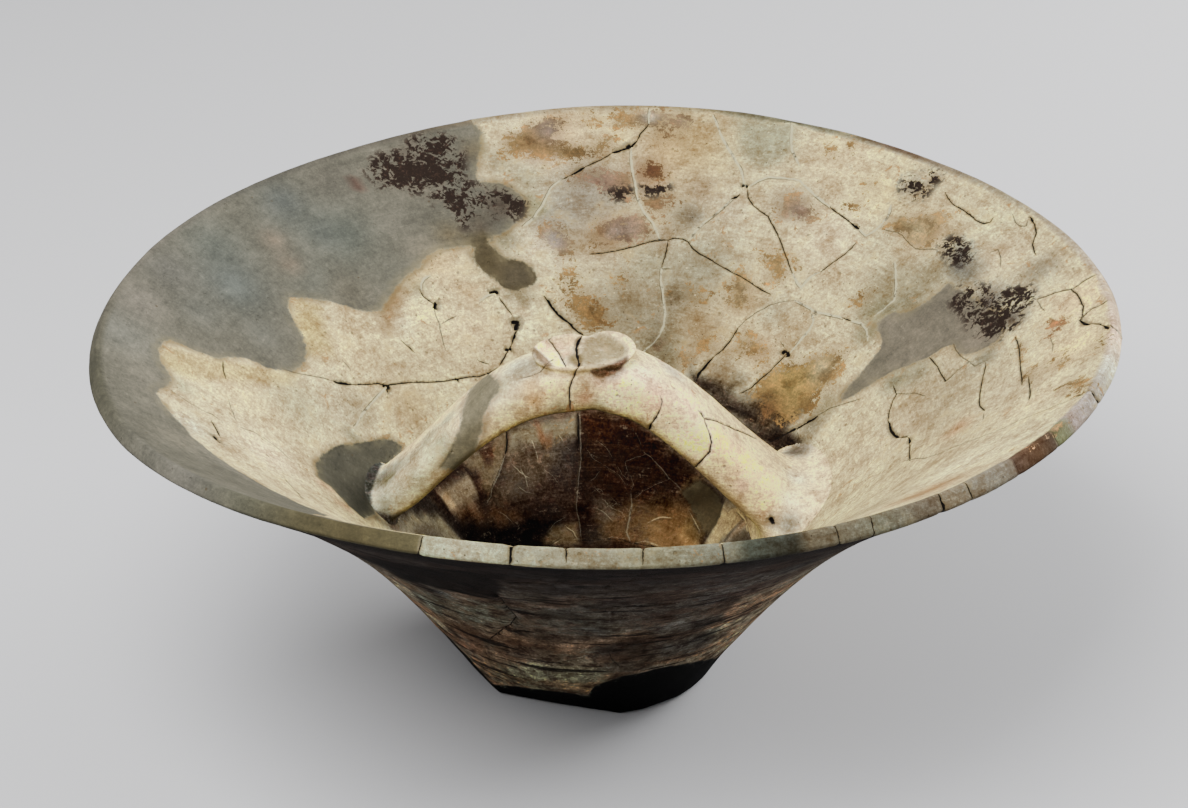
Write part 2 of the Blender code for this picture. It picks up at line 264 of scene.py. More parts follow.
inner_breaks = {
    "gap": [
        [(637, 141), (630, 147), (622, 149), (612, 153)],
        [(585, 167), (578, 171), (571, 175)],
        [(731, 199), (736, 197), (739, 195)],
        [(851, 223), (855, 226), (859, 229)],
        [(333, 381), (342, 383), (352, 384)],
        [(516, 332), (514, 338), (512, 344)],
        [(487, 374), (491, 372), (496, 369)],
        [(545, 297), (549, 302), (553, 308), (557, 313), (563, 318), (569, 322), (573, 327), (583, 335)],
        [(767, 443), (775, 438), (783, 434), (790, 431), (797, 428), (803, 424), (812, 419), (818, 415)],
        [(712, 358), (705, 366), (698, 374), (695, 383)],
        [(1030, 217), (1033, 222)],
        [(1079, 320), (1084, 323), (1092, 323)],
        [(1103, 325), (1108, 328)],
        [(908, 437), (909, 444)],
        [(888, 420), (890, 430), (894, 435), (899, 437)],
        [(507, 431), (508, 440), (507, 450), (505, 456)],
        [(578, 414), (579, 440), (578, 450)],
    ],
    "line": [
        [(649, 124), (640, 134), (637, 141)],
        [(612, 153), (600, 160), (589, 165), (585, 167)],
        [(571, 175), (563, 179)],
        [(590, 254), (600, 253), (615, 251), (632, 247), (648, 242), (660, 240), (668, 240)],
        [(668, 240), (674, 238), (683, 239), (688, 241), (692, 248), (700, 254), (708, 258), (718, 264),
         (730, 271), (740, 276), (752, 283), (762, 290), (770, 294)],
        [(668, 241), (667, 250), (663, 260), (662, 268)],
        [(747, 190), (748, 198), (753, 205), (760, 211), (768, 216), (771, 222), (776, 232), (781, 243),
         (785, 255), (790, 267), (792, 273)],
        [(830, 207), (838, 213), (846, 219), (851, 223)],
        [(855, 243), (845, 253), (838, 258), (832, 262), (826, 267), (820, 272)],
        [(945, 193), (948, 198), (953, 204), (962, 209), (970, 215), (976, 220), (984, 224), (990, 222),
         (993, 218)],
        [(1033, 222), (1036, 232), (1034, 238), (1032, 244), (1034, 250), (1036, 255)],
        [(1092, 323), (1099, 323), (1104, 325)],
        [(1110, 325), (1115, 328), (1121, 333)],
        [(1079, 320), (1082, 315), (1083, 306), (1080, 299), (1076, 293), (1070, 289)],
        [(1079, 320), (1085, 314), (1092, 308), (1102, 304), (1108, 300)],
        [(1036, 299), (1045, 296), (1056, 292), (1064, 290), (1072, 289), (1078, 285), (1086, 279),
         (1096, 275)],
        [(1015, 337), (1018, 345), (1019, 355), (1020, 365), (1021, 375), (1022, 385)],
        [(1028, 378), (1030, 390), (1029, 400)],
        [(985, 363), (984, 372), (981, 382), (980, 392), (979, 400), (980, 406), (985, 411)],
        [(930, 358), (937, 366), (941, 374), (945, 381), (950, 377), (956, 372)],
        [(893, 385), (896, 394), (892, 400), (889, 410), (888, 420)],
        [(899, 437), (906, 436), (908, 437)],
        [(909, 444), (909, 452), (910, 461)],
        [(738, 328), (730, 340), (722, 350), (712, 358)],
        [(786, 354), (778, 362), (770, 371), (760, 379), (750, 388), (740, 393)],
        [(842, 318), (851, 321)],
        [(352, 384), (365, 384), (378, 383), (385, 385), (395, 384), (410, 382), (430, 382), (445, 381),
         (456, 379), (468, 377), (480, 376), (487, 374)],
        [(512, 344), (509, 350), (503, 360), (500, 365)],
        [(512, 315), (506, 307), (500, 298)],
        [(420, 290), (424, 296), (430, 301), (434, 304)],
        [(402, 341), (408, 346), (414, 352)],
        [(478, 360), (488, 364)],
        [(223, 362), (224, 370), (226, 378)],
        [(212, 421), (217, 429), (221, 437)],
        [(285, 479), (292, 487), (300, 495), (303, 499)],
        [(667, 477), (655, 482), (643, 488), (633, 496)],
        [(575, 541), (600, 539), (620, 539), (632, 543), (645, 545), (660, 547)],
        [(629, 424), (636, 434), (640, 445), (643, 452)],
    ],
    "joint": [
        [(650, 109), (649, 116), (649, 124)],
        [(563, 179), (556, 184), (551, 188), (546, 198), (541, 207), (534, 218), (524, 226)],
        [(631, 148), (631, 160), (632, 170), (635, 182), (637, 195), (640, 205), (645, 214), (652, 222),
         (656, 230), (659, 238)],
        [(662, 268), (661, 280), (663, 295), (665, 312), (664, 325), (660, 335), (654, 343), (648, 348),
         (643, 352)],
        [(690, 240), (696, 231), (704, 223), (712, 217), (724, 207), (731, 200)],
        [(745, 186), (741, 170), (735, 160), (729, 150), (722, 138), (716, 122), (713, 116)],
        [(792, 123), (791, 140), (792, 150), (796, 158), (799, 165)],
        [(750, 186), (758, 181), (768, 178), (780, 178), (792, 179), (800, 181), (806, 187), (814, 195),
         (822, 201), (830, 207)],
        [(859, 229), (866, 236), (875, 231), (880, 226), (885, 220), (890, 212), (891, 205)],
        [(792, 273), (796, 281), (801, 288)],
        [(820, 272), (810, 277), (801, 288)],
        [(895, 262), (896, 275), (896, 290), (895, 300), (884, 310), (875, 316)],
        [(795, 301), (806, 306), (815, 312), (825, 314), (842, 318)],
        [(851, 321), (862, 324), (867, 330), (868, 340)],
        [(812, 313), (814, 322), (810, 330), (803, 338), (797, 346), (791, 352)],
        [(386, 388), (378, 396), (370, 405), (362, 415), (355, 427)],
        [(480, 301), (487, 296), (494, 293)],
        [(421, 290), (421, 284), (424, 279), (430, 275)],
        [(580, 412), (581, 455), (579, 475), (577, 495), (576, 508), (579, 520), (581, 533), (582, 543)],
        [(505, 456), (503, 460), (500, 470), (496, 480), (491, 490), (490, 497), (487, 502)],
        [(631, 492), (632, 505), (629, 520), (627, 532), (630, 541)],
        [(643, 452), (652, 458), (660, 467), (667, 476), (675, 483), (681, 490)],
    ],
    "scratch": [
        [(668, 480), (655, 485), (643, 491), (634, 499)],
        [(632, 428), (638, 436), (641, 445)],
        [(594, 486), (600, 494), (610, 496), (618, 504)],
        [(604, 500), (612, 508), (622, 512), (626, 520)],
        [(596, 508), (604, 512), (612, 520)],
        [(560, 540), (552, 545)],
        [(566, 526), (574, 532), (578, 540)],
        [(588, 452), (594, 456), (600, 458)],
        [(617, 466), (622, 474), (628, 480)],
        [(512, 464), (520, 472), (530, 478)],
        [(518, 486), (526, 492), (536, 494)],
        [(496, 510), (506, 516), (512, 522)],
        [(643, 455), (634, 458), (625, 462), (627, 469), (631, 477), (633, 485), (631, 491)],
        [(604, 465), (612, 470), (619, 475), (625, 484)],
        [(592, 493), (598, 488), (603, 492), (601, 499), (608, 500)],
        [(586, 448), (592, 458), (601, 463)],
        [(597, 441), (606, 447), (612, 457)],
        [(588, 482), (595, 478), (600, 471)],
        [(606, 507), (613, 503), (621, 505)],
        [(633, 543), (645, 541), (658, 546)],
        [(548, 531), (556, 522), (566, 517)],
        [(600, 540), (612, 537), (625, 539)],
        [(690, 512), (695, 522), (700, 531)],
        [(532, 441), (537, 452), (538, 462)],
        [(560, 436), (565, 446), (571, 451)],
        [(545, 470), (553, 476), (560, 485)],
        [(520, 468), (526, 477), (528, 487)],
        [(648, 523), (660, 517), (672, 518)],
        [(738, 512), (745, 520), (747, 531)],
    ],
    "hair": [
        [(333, 381), (322, 378), (312, 376), (300, 374), (290, 371), (283, 368)],
        [(434, 309), (437, 318), (440, 325), (441, 333), (443, 342), (446, 350)],
        [(441, 324), (448, 320), (456, 316)],
        [(343, 360), (348, 366), (351, 371)],
        [(661, 268), (672, 269)],
        [(883, 229), (890, 231), (897, 232), (902, 235), (906, 240), (911, 245), (916, 249), (926, 249),
         (938, 249)],
        [(1012, 213), (1015, 222), (1020, 226), (1026, 226), (1028, 220)],
        [(1050, 338), (1053, 345), (1052, 352)],
        [(956, 372), (962, 367), (970, 362)],
        [(953, 343), (956, 350), (960, 356), (968, 361), (975, 366), (985, 361)],
        [(895, 393), (905, 394), (915, 393), (925, 396)],
        [(905, 461), (925, 458), (940, 453), (955, 446), (972, 440), (990, 433), (1005, 427), (1020, 420),
         (1040, 412), (1060, 404), (1075, 398), (1090, 391)],
        [(738, 328), (745, 320), (757, 312), (770, 305), (785, 301), (795, 300)],
        [(781, 342), (785, 348)],
        [(797, 430), (799, 440), (801, 447)],
        [(818, 415), (830, 408), (845, 403), (860, 399)],
        [(229, 400), (231, 407), (236, 420)],
        [(168, 388), (180, 396), (190, 403), (200, 409), (212, 414), (222, 421)],
        [(240, 427), (255, 432), (268, 440), (280, 449), (292, 460)],
        [(984, 413), (983, 420)],
        [(989, 253), (998, 249), (1001, 258), (1000, 268)],
        [(1037, 300), (1041, 307), (1045, 311)],
    ],
    "pit": [
        [(514, 322), (518, 322), (516, 328)],
        [(384, 385), (388, 386), (387, 389)],
        [(435, 304), (435, 308)],
        [(784, 352), (788, 354)],
        [(491, 293), (496, 292)],
        [(744, 185), (746, 186)],
        [(456, 379), (458, 379)],
        [(217, 437), (221, 441)],
        [(508, 350), (510, 349)],
        [(628, 147), (632, 146)],
    ],
}
outer_breaks = {
    "gap": [
        [(499, 598), (503, 604), (510, 613), (516, 619), (510, 626), (503, 630), (497, 635), (490, 640)],
        [(746, 582), (760, 578), (775, 575)],
        [(600, 609), (640, 607), (670, 604), (700, 600)],
    ],
    "line": [
        [(491, 590), (499, 598)],
        [(503, 605), (520, 606), (540, 608), (560, 610), (580, 611), (600, 610), (610, 613), (622, 619),
         (640, 620), (660, 618), (680, 615), (700, 611), (720, 608)],
        [(510, 582), (530, 583), (552, 584), (556, 590)],
        [(645, 572), (640, 575), (632, 581), (612, 582), (606, 588)],
        [(565, 572), (560, 580), (555, 585)],
        [(503, 629), (520, 631), (540, 634), (560, 636), (580, 637), (600, 639), (615, 640), (640, 638)],
        [(512, 644), (525, 650)],
        [(555, 664), (570, 661), (582, 659), (590, 655), (600, 652), (608, 652), (620, 648), (635, 643),
         (650, 638), (665, 637)],
        [(608, 652), (612, 660), (620, 668)],
        [(713, 573), (722, 573)],
        [(660, 588), (668, 587)],
        [(498, 635), (510, 640), (522, 642)],
    ],
    "pit": [
        [(480, 646), (484, 650)],
        [(577, 596), (580, 597)],
    ],
}
lip_breaks = {  # a pixel on the lip, and how far the join runs down inside and outside
    "gap": [((944, 505), 0.004, 0.022), ((1098, 400), 0.010, 0.020), ((510, 556), 0.120, 0.004)],
    "line": [
        ((420, 545), 0.105, 0.010),
        ((566, 560), 0.070, 0.002),
        ((643, 560), 0.135, 0.002),
        ((724, 556), 0.095, 0.012),
        ((838, 534), 0.012, 0.015),
        ((873, 526), 0.004, 0.018),
        ((970, 491), 0.004, 0.014),
        ((1018, 469), 0.004, 0.016),
        ((1059, 444), 0.004, 0.012),
    ],
    "joint": [((653, 109), 0.004, 0.030), ((1121, 335), 0.002, 0.030)],
}


class Marks:
    """Points laid along the lines that are drawn on one surface."""

    def __init__(self, mesh):
        vertices = [v.co for v in mesh.vertices]
        self.surface = BVHTree.FromPolygons(vertices, [p.vertices for p in mesh.polygons])
        self.places, self.along, self.outwards, self.looks = [], [], [], []

    def under_pixel(self, x, y):
        """Where a pixel falls on the clay. One just off the edge is drawn in towards the bowl."""
        for _ in range(MISS_TRIES):
            place, normal, _, _ = self.surface.ray_cast(EYE, sight(x, y))
            if place:
                return place, normal
            inwards = Vector((BOWL_MIDDLE_PIXEL[0] - x, BOWL_MIDDLE_PIXEL[1] - y)).normalized() * MISS_STEP
            x, y = x + inwards.x, y + inwards.y
        return None, None

    def traced(self, pixels):
        """The places under a line of pixels, with a slight wobble, close enough to read as one line."""
        found = []
        for (x0, y0), (x1, y1) in zip(pixels, pixels[1:]):
            span = math.hypot(x1 - x0, y1 - y0)
            count = max(1, round(span / SAMPLE_PIXELS))
            for i in range(count):
                share = i / count
                x, y = x0 + (x1 - x0) * share, y0 + (y1 - y0) * share
                shift = noise.noise_vector((x * WOBBLE_SCALE, y * WOBBLE_SCALE, 0)) * WOBBLE
                found.append(self.under_pixel(x + shift.x, y + shift.y))
        found.append(self.under_pixel(*pixels[-1]))
        return [(place, normal) for place, normal in found if place]

    def through(self, found):
        """The same line on the other face of the clay."""
        other = []
        for place, normal in found:
            start = place - normal * THROUGH_START
            far, far_normal, _, _ = self.surface.ray_cast(start, -normal, THROUGH_REACH)
            if far:
                other.append((far, far_normal))
        return other

    def lay(self, kind, found):
        """Adds a line's points, evenly spaced, each with its direction and looks."""
        half_width, depth, dark, white = JOINS[kind]
        if len(found) < 2:
            return
        places = np.array([p[:] for p, _ in found])
        normals = np.array([n[:] for _, n in found])
        steps = np.linalg.norm(np.diff(places, axis=0), axis=1)
        whole = np.concatenate([[0], np.cumsum(steps)])
        if whole[-1] < SAMPLE_LENGTH / 2 or steps.max() > LONGEST_STEP:
            return
        wanted = np.linspace(0, whole[-1], max(2, int(whole[-1] / SAMPLE_LENGTH)))
        spread = np.stack([np.interp(wanted, whole, places[:, i]) for i in range(3)], 1)
        facing = np.stack([np.interp(wanted, whole, normals[:, i]) for i in range(3)], 1)
        direction = np.gradient(spread, axis=0)
        direction /= np.linalg.norm(direction, axis=1)[:, None] + LEAST_LENGTH
        from_end = np.minimum(wanted, whole[-1] - wanted)
        taper = 1.0 if kind == "pit" else np.clip(from_end / TAPER + TAPER_FROM, 0, 1)
        look = np.tile([half_width, depth, dark, white], (len(wanted), 1))
        look[:, :2] *= np.broadcast_to(taper, len(wanted))[:, None]
        self.places.append(spread)
        self.along.append(direction)
        self.outwards.append(facing)
        self.looks.append(look)

    def gathered(self):
        self.places, self.along, self.outwards, self.looks = (
            np.concatenate(part) for part in (self.places, self.along, self.outwards, self.looks)
        )
        self.tree = KDTree(len(self.places))
        for i, place in enumerate(self.places):
            self.tree.insert(place, i)
        self.tree.balance()

    def nearest(self, points):
        """For each point, the distance and the number of the nearest mark."""
        found = [self.tree.find(point) for point in points]
        return np.array([f[2] for f in found]), np.array([f[1] for f in found])


THROUGH_START = 0.0015
THROUGH_REACH = 0.060
LONGEST_STEP = 0.020
LIP_WOBBLE, LIP_WOBBLE_SCALE, LIP_WOBBLE_FULL = 0.010, 60, 0.010
DEEP_WOBBLE, DEEP_WOBBLE_SCALE, DEEP_WOBBLE_LAYER = 2.2, 22, 5

wall_marks = Marks(wall.data)
profile_array, run_array = np.array([p[:] for p in profile]), np.array(runs)


def on_wall(run, angle):
    """A place on the wall: run metres from the middle of the lip, inside below 0, at an angle."""
    radius, height = (np.interp(run, run_array, profile_array[:, i]) for i in range(2))
    round_place = [[radius * math.cos(angle), radius * math.sin(angle), height]]
    place = Vector(settled(round_place)[0])
    near, normal, _, _ = wall_marks.surface.find_nearest(place)
    return near, normal


def angle_of(place):
    return math.atan2(place.y, place.x - LEAN)


def over_lip(pixel, inside, outside):
    """A join that runs over the lip at the angle of a pixel on it."""
    place, _ = wall_marks.under_pixel(*pixel)
    line = []
    for run in np.arange(-inside, outside + SAMPLE_LENGTH, SAMPLE_LENGTH * 2):
        shallow = noise.noise((pixel[0], run * LIP_WOBBLE_SCALE, 0))
        deep = noise.noise((pixel[0], run * DEEP_WOBBLE_SCALE, DEEP_WOBBLE_LAYER))
        drift = shallow * LIP_WOBBLE * min(1, abs(run) / LIP_WOBBLE_FULL) + deep * abs(run) * DEEP_WOBBLE
        line.append(on_wall(run, angle_of(place) + drift))
    return line


for kind, lines in inner_breaks.items():
    for pixels in lines:
        drawn = wall_marks.traced(pixels)
        wall_marks.lay(kind, drawn)
        if kind in ("gap", "line", "joint"):
            wall_marks.lay("line" if kind == "joint" else kind, wall_marks.through(drawn))
for kind, lines in outer_breaks.items():
    for pixels in lines:
        drawn = wall_marks.traced(pixels)
        wall_marks.lay(kind, drawn)
        if kind == "gap":
            wall_marks.lay("line", wall_marks.through(drawn))
for kind, places in lip_breaks.items():
    for pixel, inside, outside in places:
        wall_marks.lay(kind, over_lip(pixel, inside, outside))
wall_marks.gathered()

REFINE_REACHES = (0.0042, 0.0021, 0.0010)


def refine_near(obj, marks, reaches):
    """Halves the faces near the marks, once for each reach."""
    for reach in reaches:
        deselect_all()
        obj.select_set(True)
        bpy.context.view_layer.objects.active = obj
        bpy.ops.object.mode_set(mode="EDIT")
        bpy.ops.mesh.select_mode(type="FACE")
        bpy.ops.mesh.select_all(action="DESELECT")
        form = bmesh.from_edit_mesh(obj.data)
        distance, _ = marks.nearest([face.calc_center_median() for face in form.faces])
        for face, far in zip(form.faces, distance):
            face.select_set(bool(far < reach and len(face.verts) == 4))
        bmesh.update_edit_mesh(obj.data)
        bpy.ops.mesh.subdivide(number_cuts=1)
        bpy.ops.object.mode_set(mode="OBJECT")


refine_near(wall, wall_marks, REFINE_REACHES)

GROOVE_SPREAD = 0.0005
MAX_MARK = 0.020
HAND_LUMPS = 0.00035
HAND_LUMP_SCALE = 28
FINE_LUMPS = 0.00012
FINE_LUMP_SCALE = 130


def sink_marks(mesh, marks):
    """Cuts the grooves into the mesh and stores what the finish needs to draw each join sharply."""
    places, normals = read(mesh, "co"), read(mesh, "normal")
    distance, which = marks.nearest(places)
    sideways = np.cross(marks.along[which], marks.outwards[which])
    across = np.einsum("ij,ij->i", places - marks.places[which], sideways)
    half_width, depth, dark, white = marks.looks[which].T
    groove = depth * np.exp(-((distance / (half_width + GROOVE_SPREAD)) ** 2))
    write_attribute(mesh, "across", across * MILLIMETRES)
    write_attribute(mesh, "near", np.minimum(distance, MAX_MARK) * MILLIMETRES)
    write_attribute(mesh, "half_width", half_width * MILLIMETRES)
    write_attribute(mesh, "dark", dark)
    write_attribute(mesh, "white", white)
    return places - normals * groove[:, None]


def lumps(places, scale, height):
    """How far the hand left each point in or out."""
    return height * np.array([noise.noise(Vector(p) * scale) for p in places])


def unevenness(mesh, places):
    swell = lumps(places, HAND_LUMP_SCALE, HAND_LUMPS) + lumps(places, FINE_LUMP_SCALE, FINE_LUMPS)
    return places + read(mesh, "normal") * swell[:, None]


wall_places = unevenness(wall.data, sink_marks(wall.data, wall_marks))


# Fills, stains and colours of the wall
# Plaster made good what was lost, in grey and in dark olive. Slip flakes, black specks and soot lie on the
# old clay, and the shade under the strap, the shadow that it casts and the shade under the lip are painted on
# it too. Each patch is an outline of pixels, and each dab of colour one pixel.
grey_fill = [
    [(96, 330), (110, 285), (150, 235), (210, 195), (290, 160), (380, 135), (465, 118), (482, 130),
     (478, 160), (474, 182), (500, 183), (515, 190), (525, 203), (524, 216), (505, 232), (480, 240),
     (470, 245), (455, 247), (440, 250), (430, 255), (420, 265), (405, 277), (396, 288), (388, 300),
     (378, 312), (362, 312), (350, 307), (335, 302), (320, 299), (300, 297), (289, 297), (288, 310),
     (297, 325), (303, 340), (306, 352), (303, 364), (290, 371), (275, 369), (262, 365), (250, 358),
     (235, 357), (215, 357), (200, 352), (185, 345), (170, 340), (159, 345), (158, 354), (163, 365),
     (172, 378), (166, 388), (154, 390), (165, 405), (178, 420), (195, 438), (215, 455), (240, 472),
     (270, 489), (305, 506), (330, 516), (290, 512), (240, 496), (190, 472), (140, 436), (110, 400),
     (98, 370)],
    [(876, 325), (884, 318), (893, 312), (905, 313), (918, 308), (930, 300), (938, 292), (948, 282),
     (958, 290), (975, 300), (1000, 318), (1003, 335), (990, 345), (975, 352), (960, 355), (953, 345),
     (942, 348), (930, 357), (915, 363), (900, 368), (885, 375), (870, 385), (855, 393), (842, 400),
     (843, 392), (855, 380), (865, 368), (875, 356), (882, 345), (880, 335)],
    [(316, 461), (325, 452), (340, 446), (352, 444), (370, 441), (386, 438), (395, 441), (402, 447),
     (390, 462), (378, 480), (370, 496), (376, 515), (364, 519), (350, 506), (335, 490), (318, 477)],
]
dark_fill = [
    [(474, 245), (480, 240), (490, 243), (498, 250), (503, 258), (515, 258), (524, 262), (532, 268),
     (537, 275), (534, 284), (524, 289), (512, 292), (503, 288), (497, 280), (490, 276), (482, 270),
     (475, 262), (472, 252)],
    [(690, 482), (700, 480), (712, 488), (725, 502), (720, 512), (717, 522), (707, 534), (701, 526),
     (695, 514), (688, 505), (682, 492)],
]
flakes = [
    [(498, 148), (505, 135), (525, 121), (562, 117), (568, 130), (556, 138), (580, 146), (603, 150),
     (598, 158), (575, 164), (545, 159), (505, 157)],
    [(605, 111), (640, 109), (684, 110), (689, 128), (660, 128), (648, 128), (618, 128), (612, 140),
     (622, 147), (606, 153), (598, 145), (608, 125)],
    [(655, 132), (680, 131), (683, 143), (655, 146)],
    [(578, 115), (598, 112), (599, 123), (578, 123)],
    [(556, 171), (600, 169), (634, 173), (634, 202), (612, 203), (598, 186), (572, 182)],
    [(636, 166), (655, 159), (668, 170), (664, 180), (640, 180)],
    [(640, 197), (670, 192), (684, 200), (668, 207), (655, 215), (672, 226), (655, 224), (643, 206)],
    [(602, 220), (640, 213), (657, 230), (650, 241), (600, 247), (583, 239)],
    [(545, 220), (560, 224), (572, 240), (573, 256), (558, 257), (548, 241), (533, 232)],
    [(558, 298), (580, 288), (602, 300), (617, 327), (585, 332), (570, 312)],
    [(616, 267), (631, 269), (629, 287), (614, 286)],
    [(560, 272), (578, 268), (585, 282), (565, 290)],
    [(755, 249), (770, 249), (786, 251), (792, 273), (776, 287), (764, 281), (767, 270), (758, 262)],
    [(784, 251), (796, 253), (799, 269), (788, 267)],
    [(742, 266), (754, 284), (750, 297), (737, 312), (724, 302), (729, 284)],
    [(688, 285), (714, 288), (704, 306), (690, 300)],
    [(780, 195), (797, 192), (818, 212), (812, 228), (795, 220), (775, 225), (775, 208)],
    [(738, 331), (750, 327), (764, 344), (770, 352), (767, 364), (748, 357), (720, 355), (733, 345)],
    [(698, 335), (715, 329), (720, 345), (706, 357), (695, 350)],
    [(680, 350), (695, 352), (690, 372), (680, 372)],
    [(762, 372), (780, 366), (800, 362), (830, 349), (850, 350), (842, 376), (824, 387), (816, 412),
     (800, 420), (784, 424), (758, 412), (746, 400)],
    [(848, 304), (862, 288), (876, 286), (868, 301), (855, 309)],
    [(885, 225), (900, 217), (930, 214), (960, 212), (940, 225), (930, 248), (912, 246), (900, 235)],
    [(823, 144), (835, 142), (836, 162), (824, 160)],
    [(840, 140), (854, 142), (853, 152), (845, 147)],
    [(862, 180), (878, 180), (880, 192), (865, 193)],
    [(845, 203), (862, 200), (865, 214), (846, 214)],
    [(1042, 326), (1055, 317), (1070, 317), (1063, 329), (1047, 338)],
    [(1093, 346), (1101, 334), (1106, 338), (1104, 352)],
    [(1019, 344), (1027, 350), (1023, 364), (1017, 356)],
    [(1020, 380), (1030, 367), (1042, 364), (1032, 380)],
    [(1052, 356), (1066, 350), (1068, 364), (1058, 372)],
    [(1056, 388), (1080, 376), (1100, 380), (1076, 397)],
    [(1026, 456), (1036, 446), (1056, 430), (1066, 424), (1062, 446), (1044, 462), (1030, 472)],
]
specks = [
    [(408, 139), (425, 134), (450, 135), (463, 146), (463, 170), (466, 182), (483, 186), (488, 192),
     (502, 190), (516, 190), (525, 200), (522, 214), (513, 219), (500, 214), (488, 218), (478, 211),
     (472, 214), (473, 224), (462, 228), (456, 216), (450, 209), (440, 208), (433, 201), (438, 193),
     (425, 192), (410, 192), (395, 186), (380, 188), (374, 178), (364, 170), (375, 156), (390, 151),
     (404, 150)],
    [(950, 292), (962, 286), (980, 285), (1000, 292), (1014, 289), (1030, 284), (1034, 298), (1024, 314),
     (1014, 328), (1000, 340), (985, 338), (970, 328), (964, 314), (952, 306)],
    [(940, 246), (952, 237), (966, 239), (972, 256), (970, 266), (956, 264), (946, 258)],
    [(901, 190), (905, 178), (916, 175), (935, 171), (943, 178), (930, 186), (926, 197), (908, 199)],
    [(640, 190), (646, 182), (658, 179), (670, 184), (668, 193), (645, 195)],
    [(608, 192), (620, 187), (632, 190), (630, 200), (610, 199)],
]
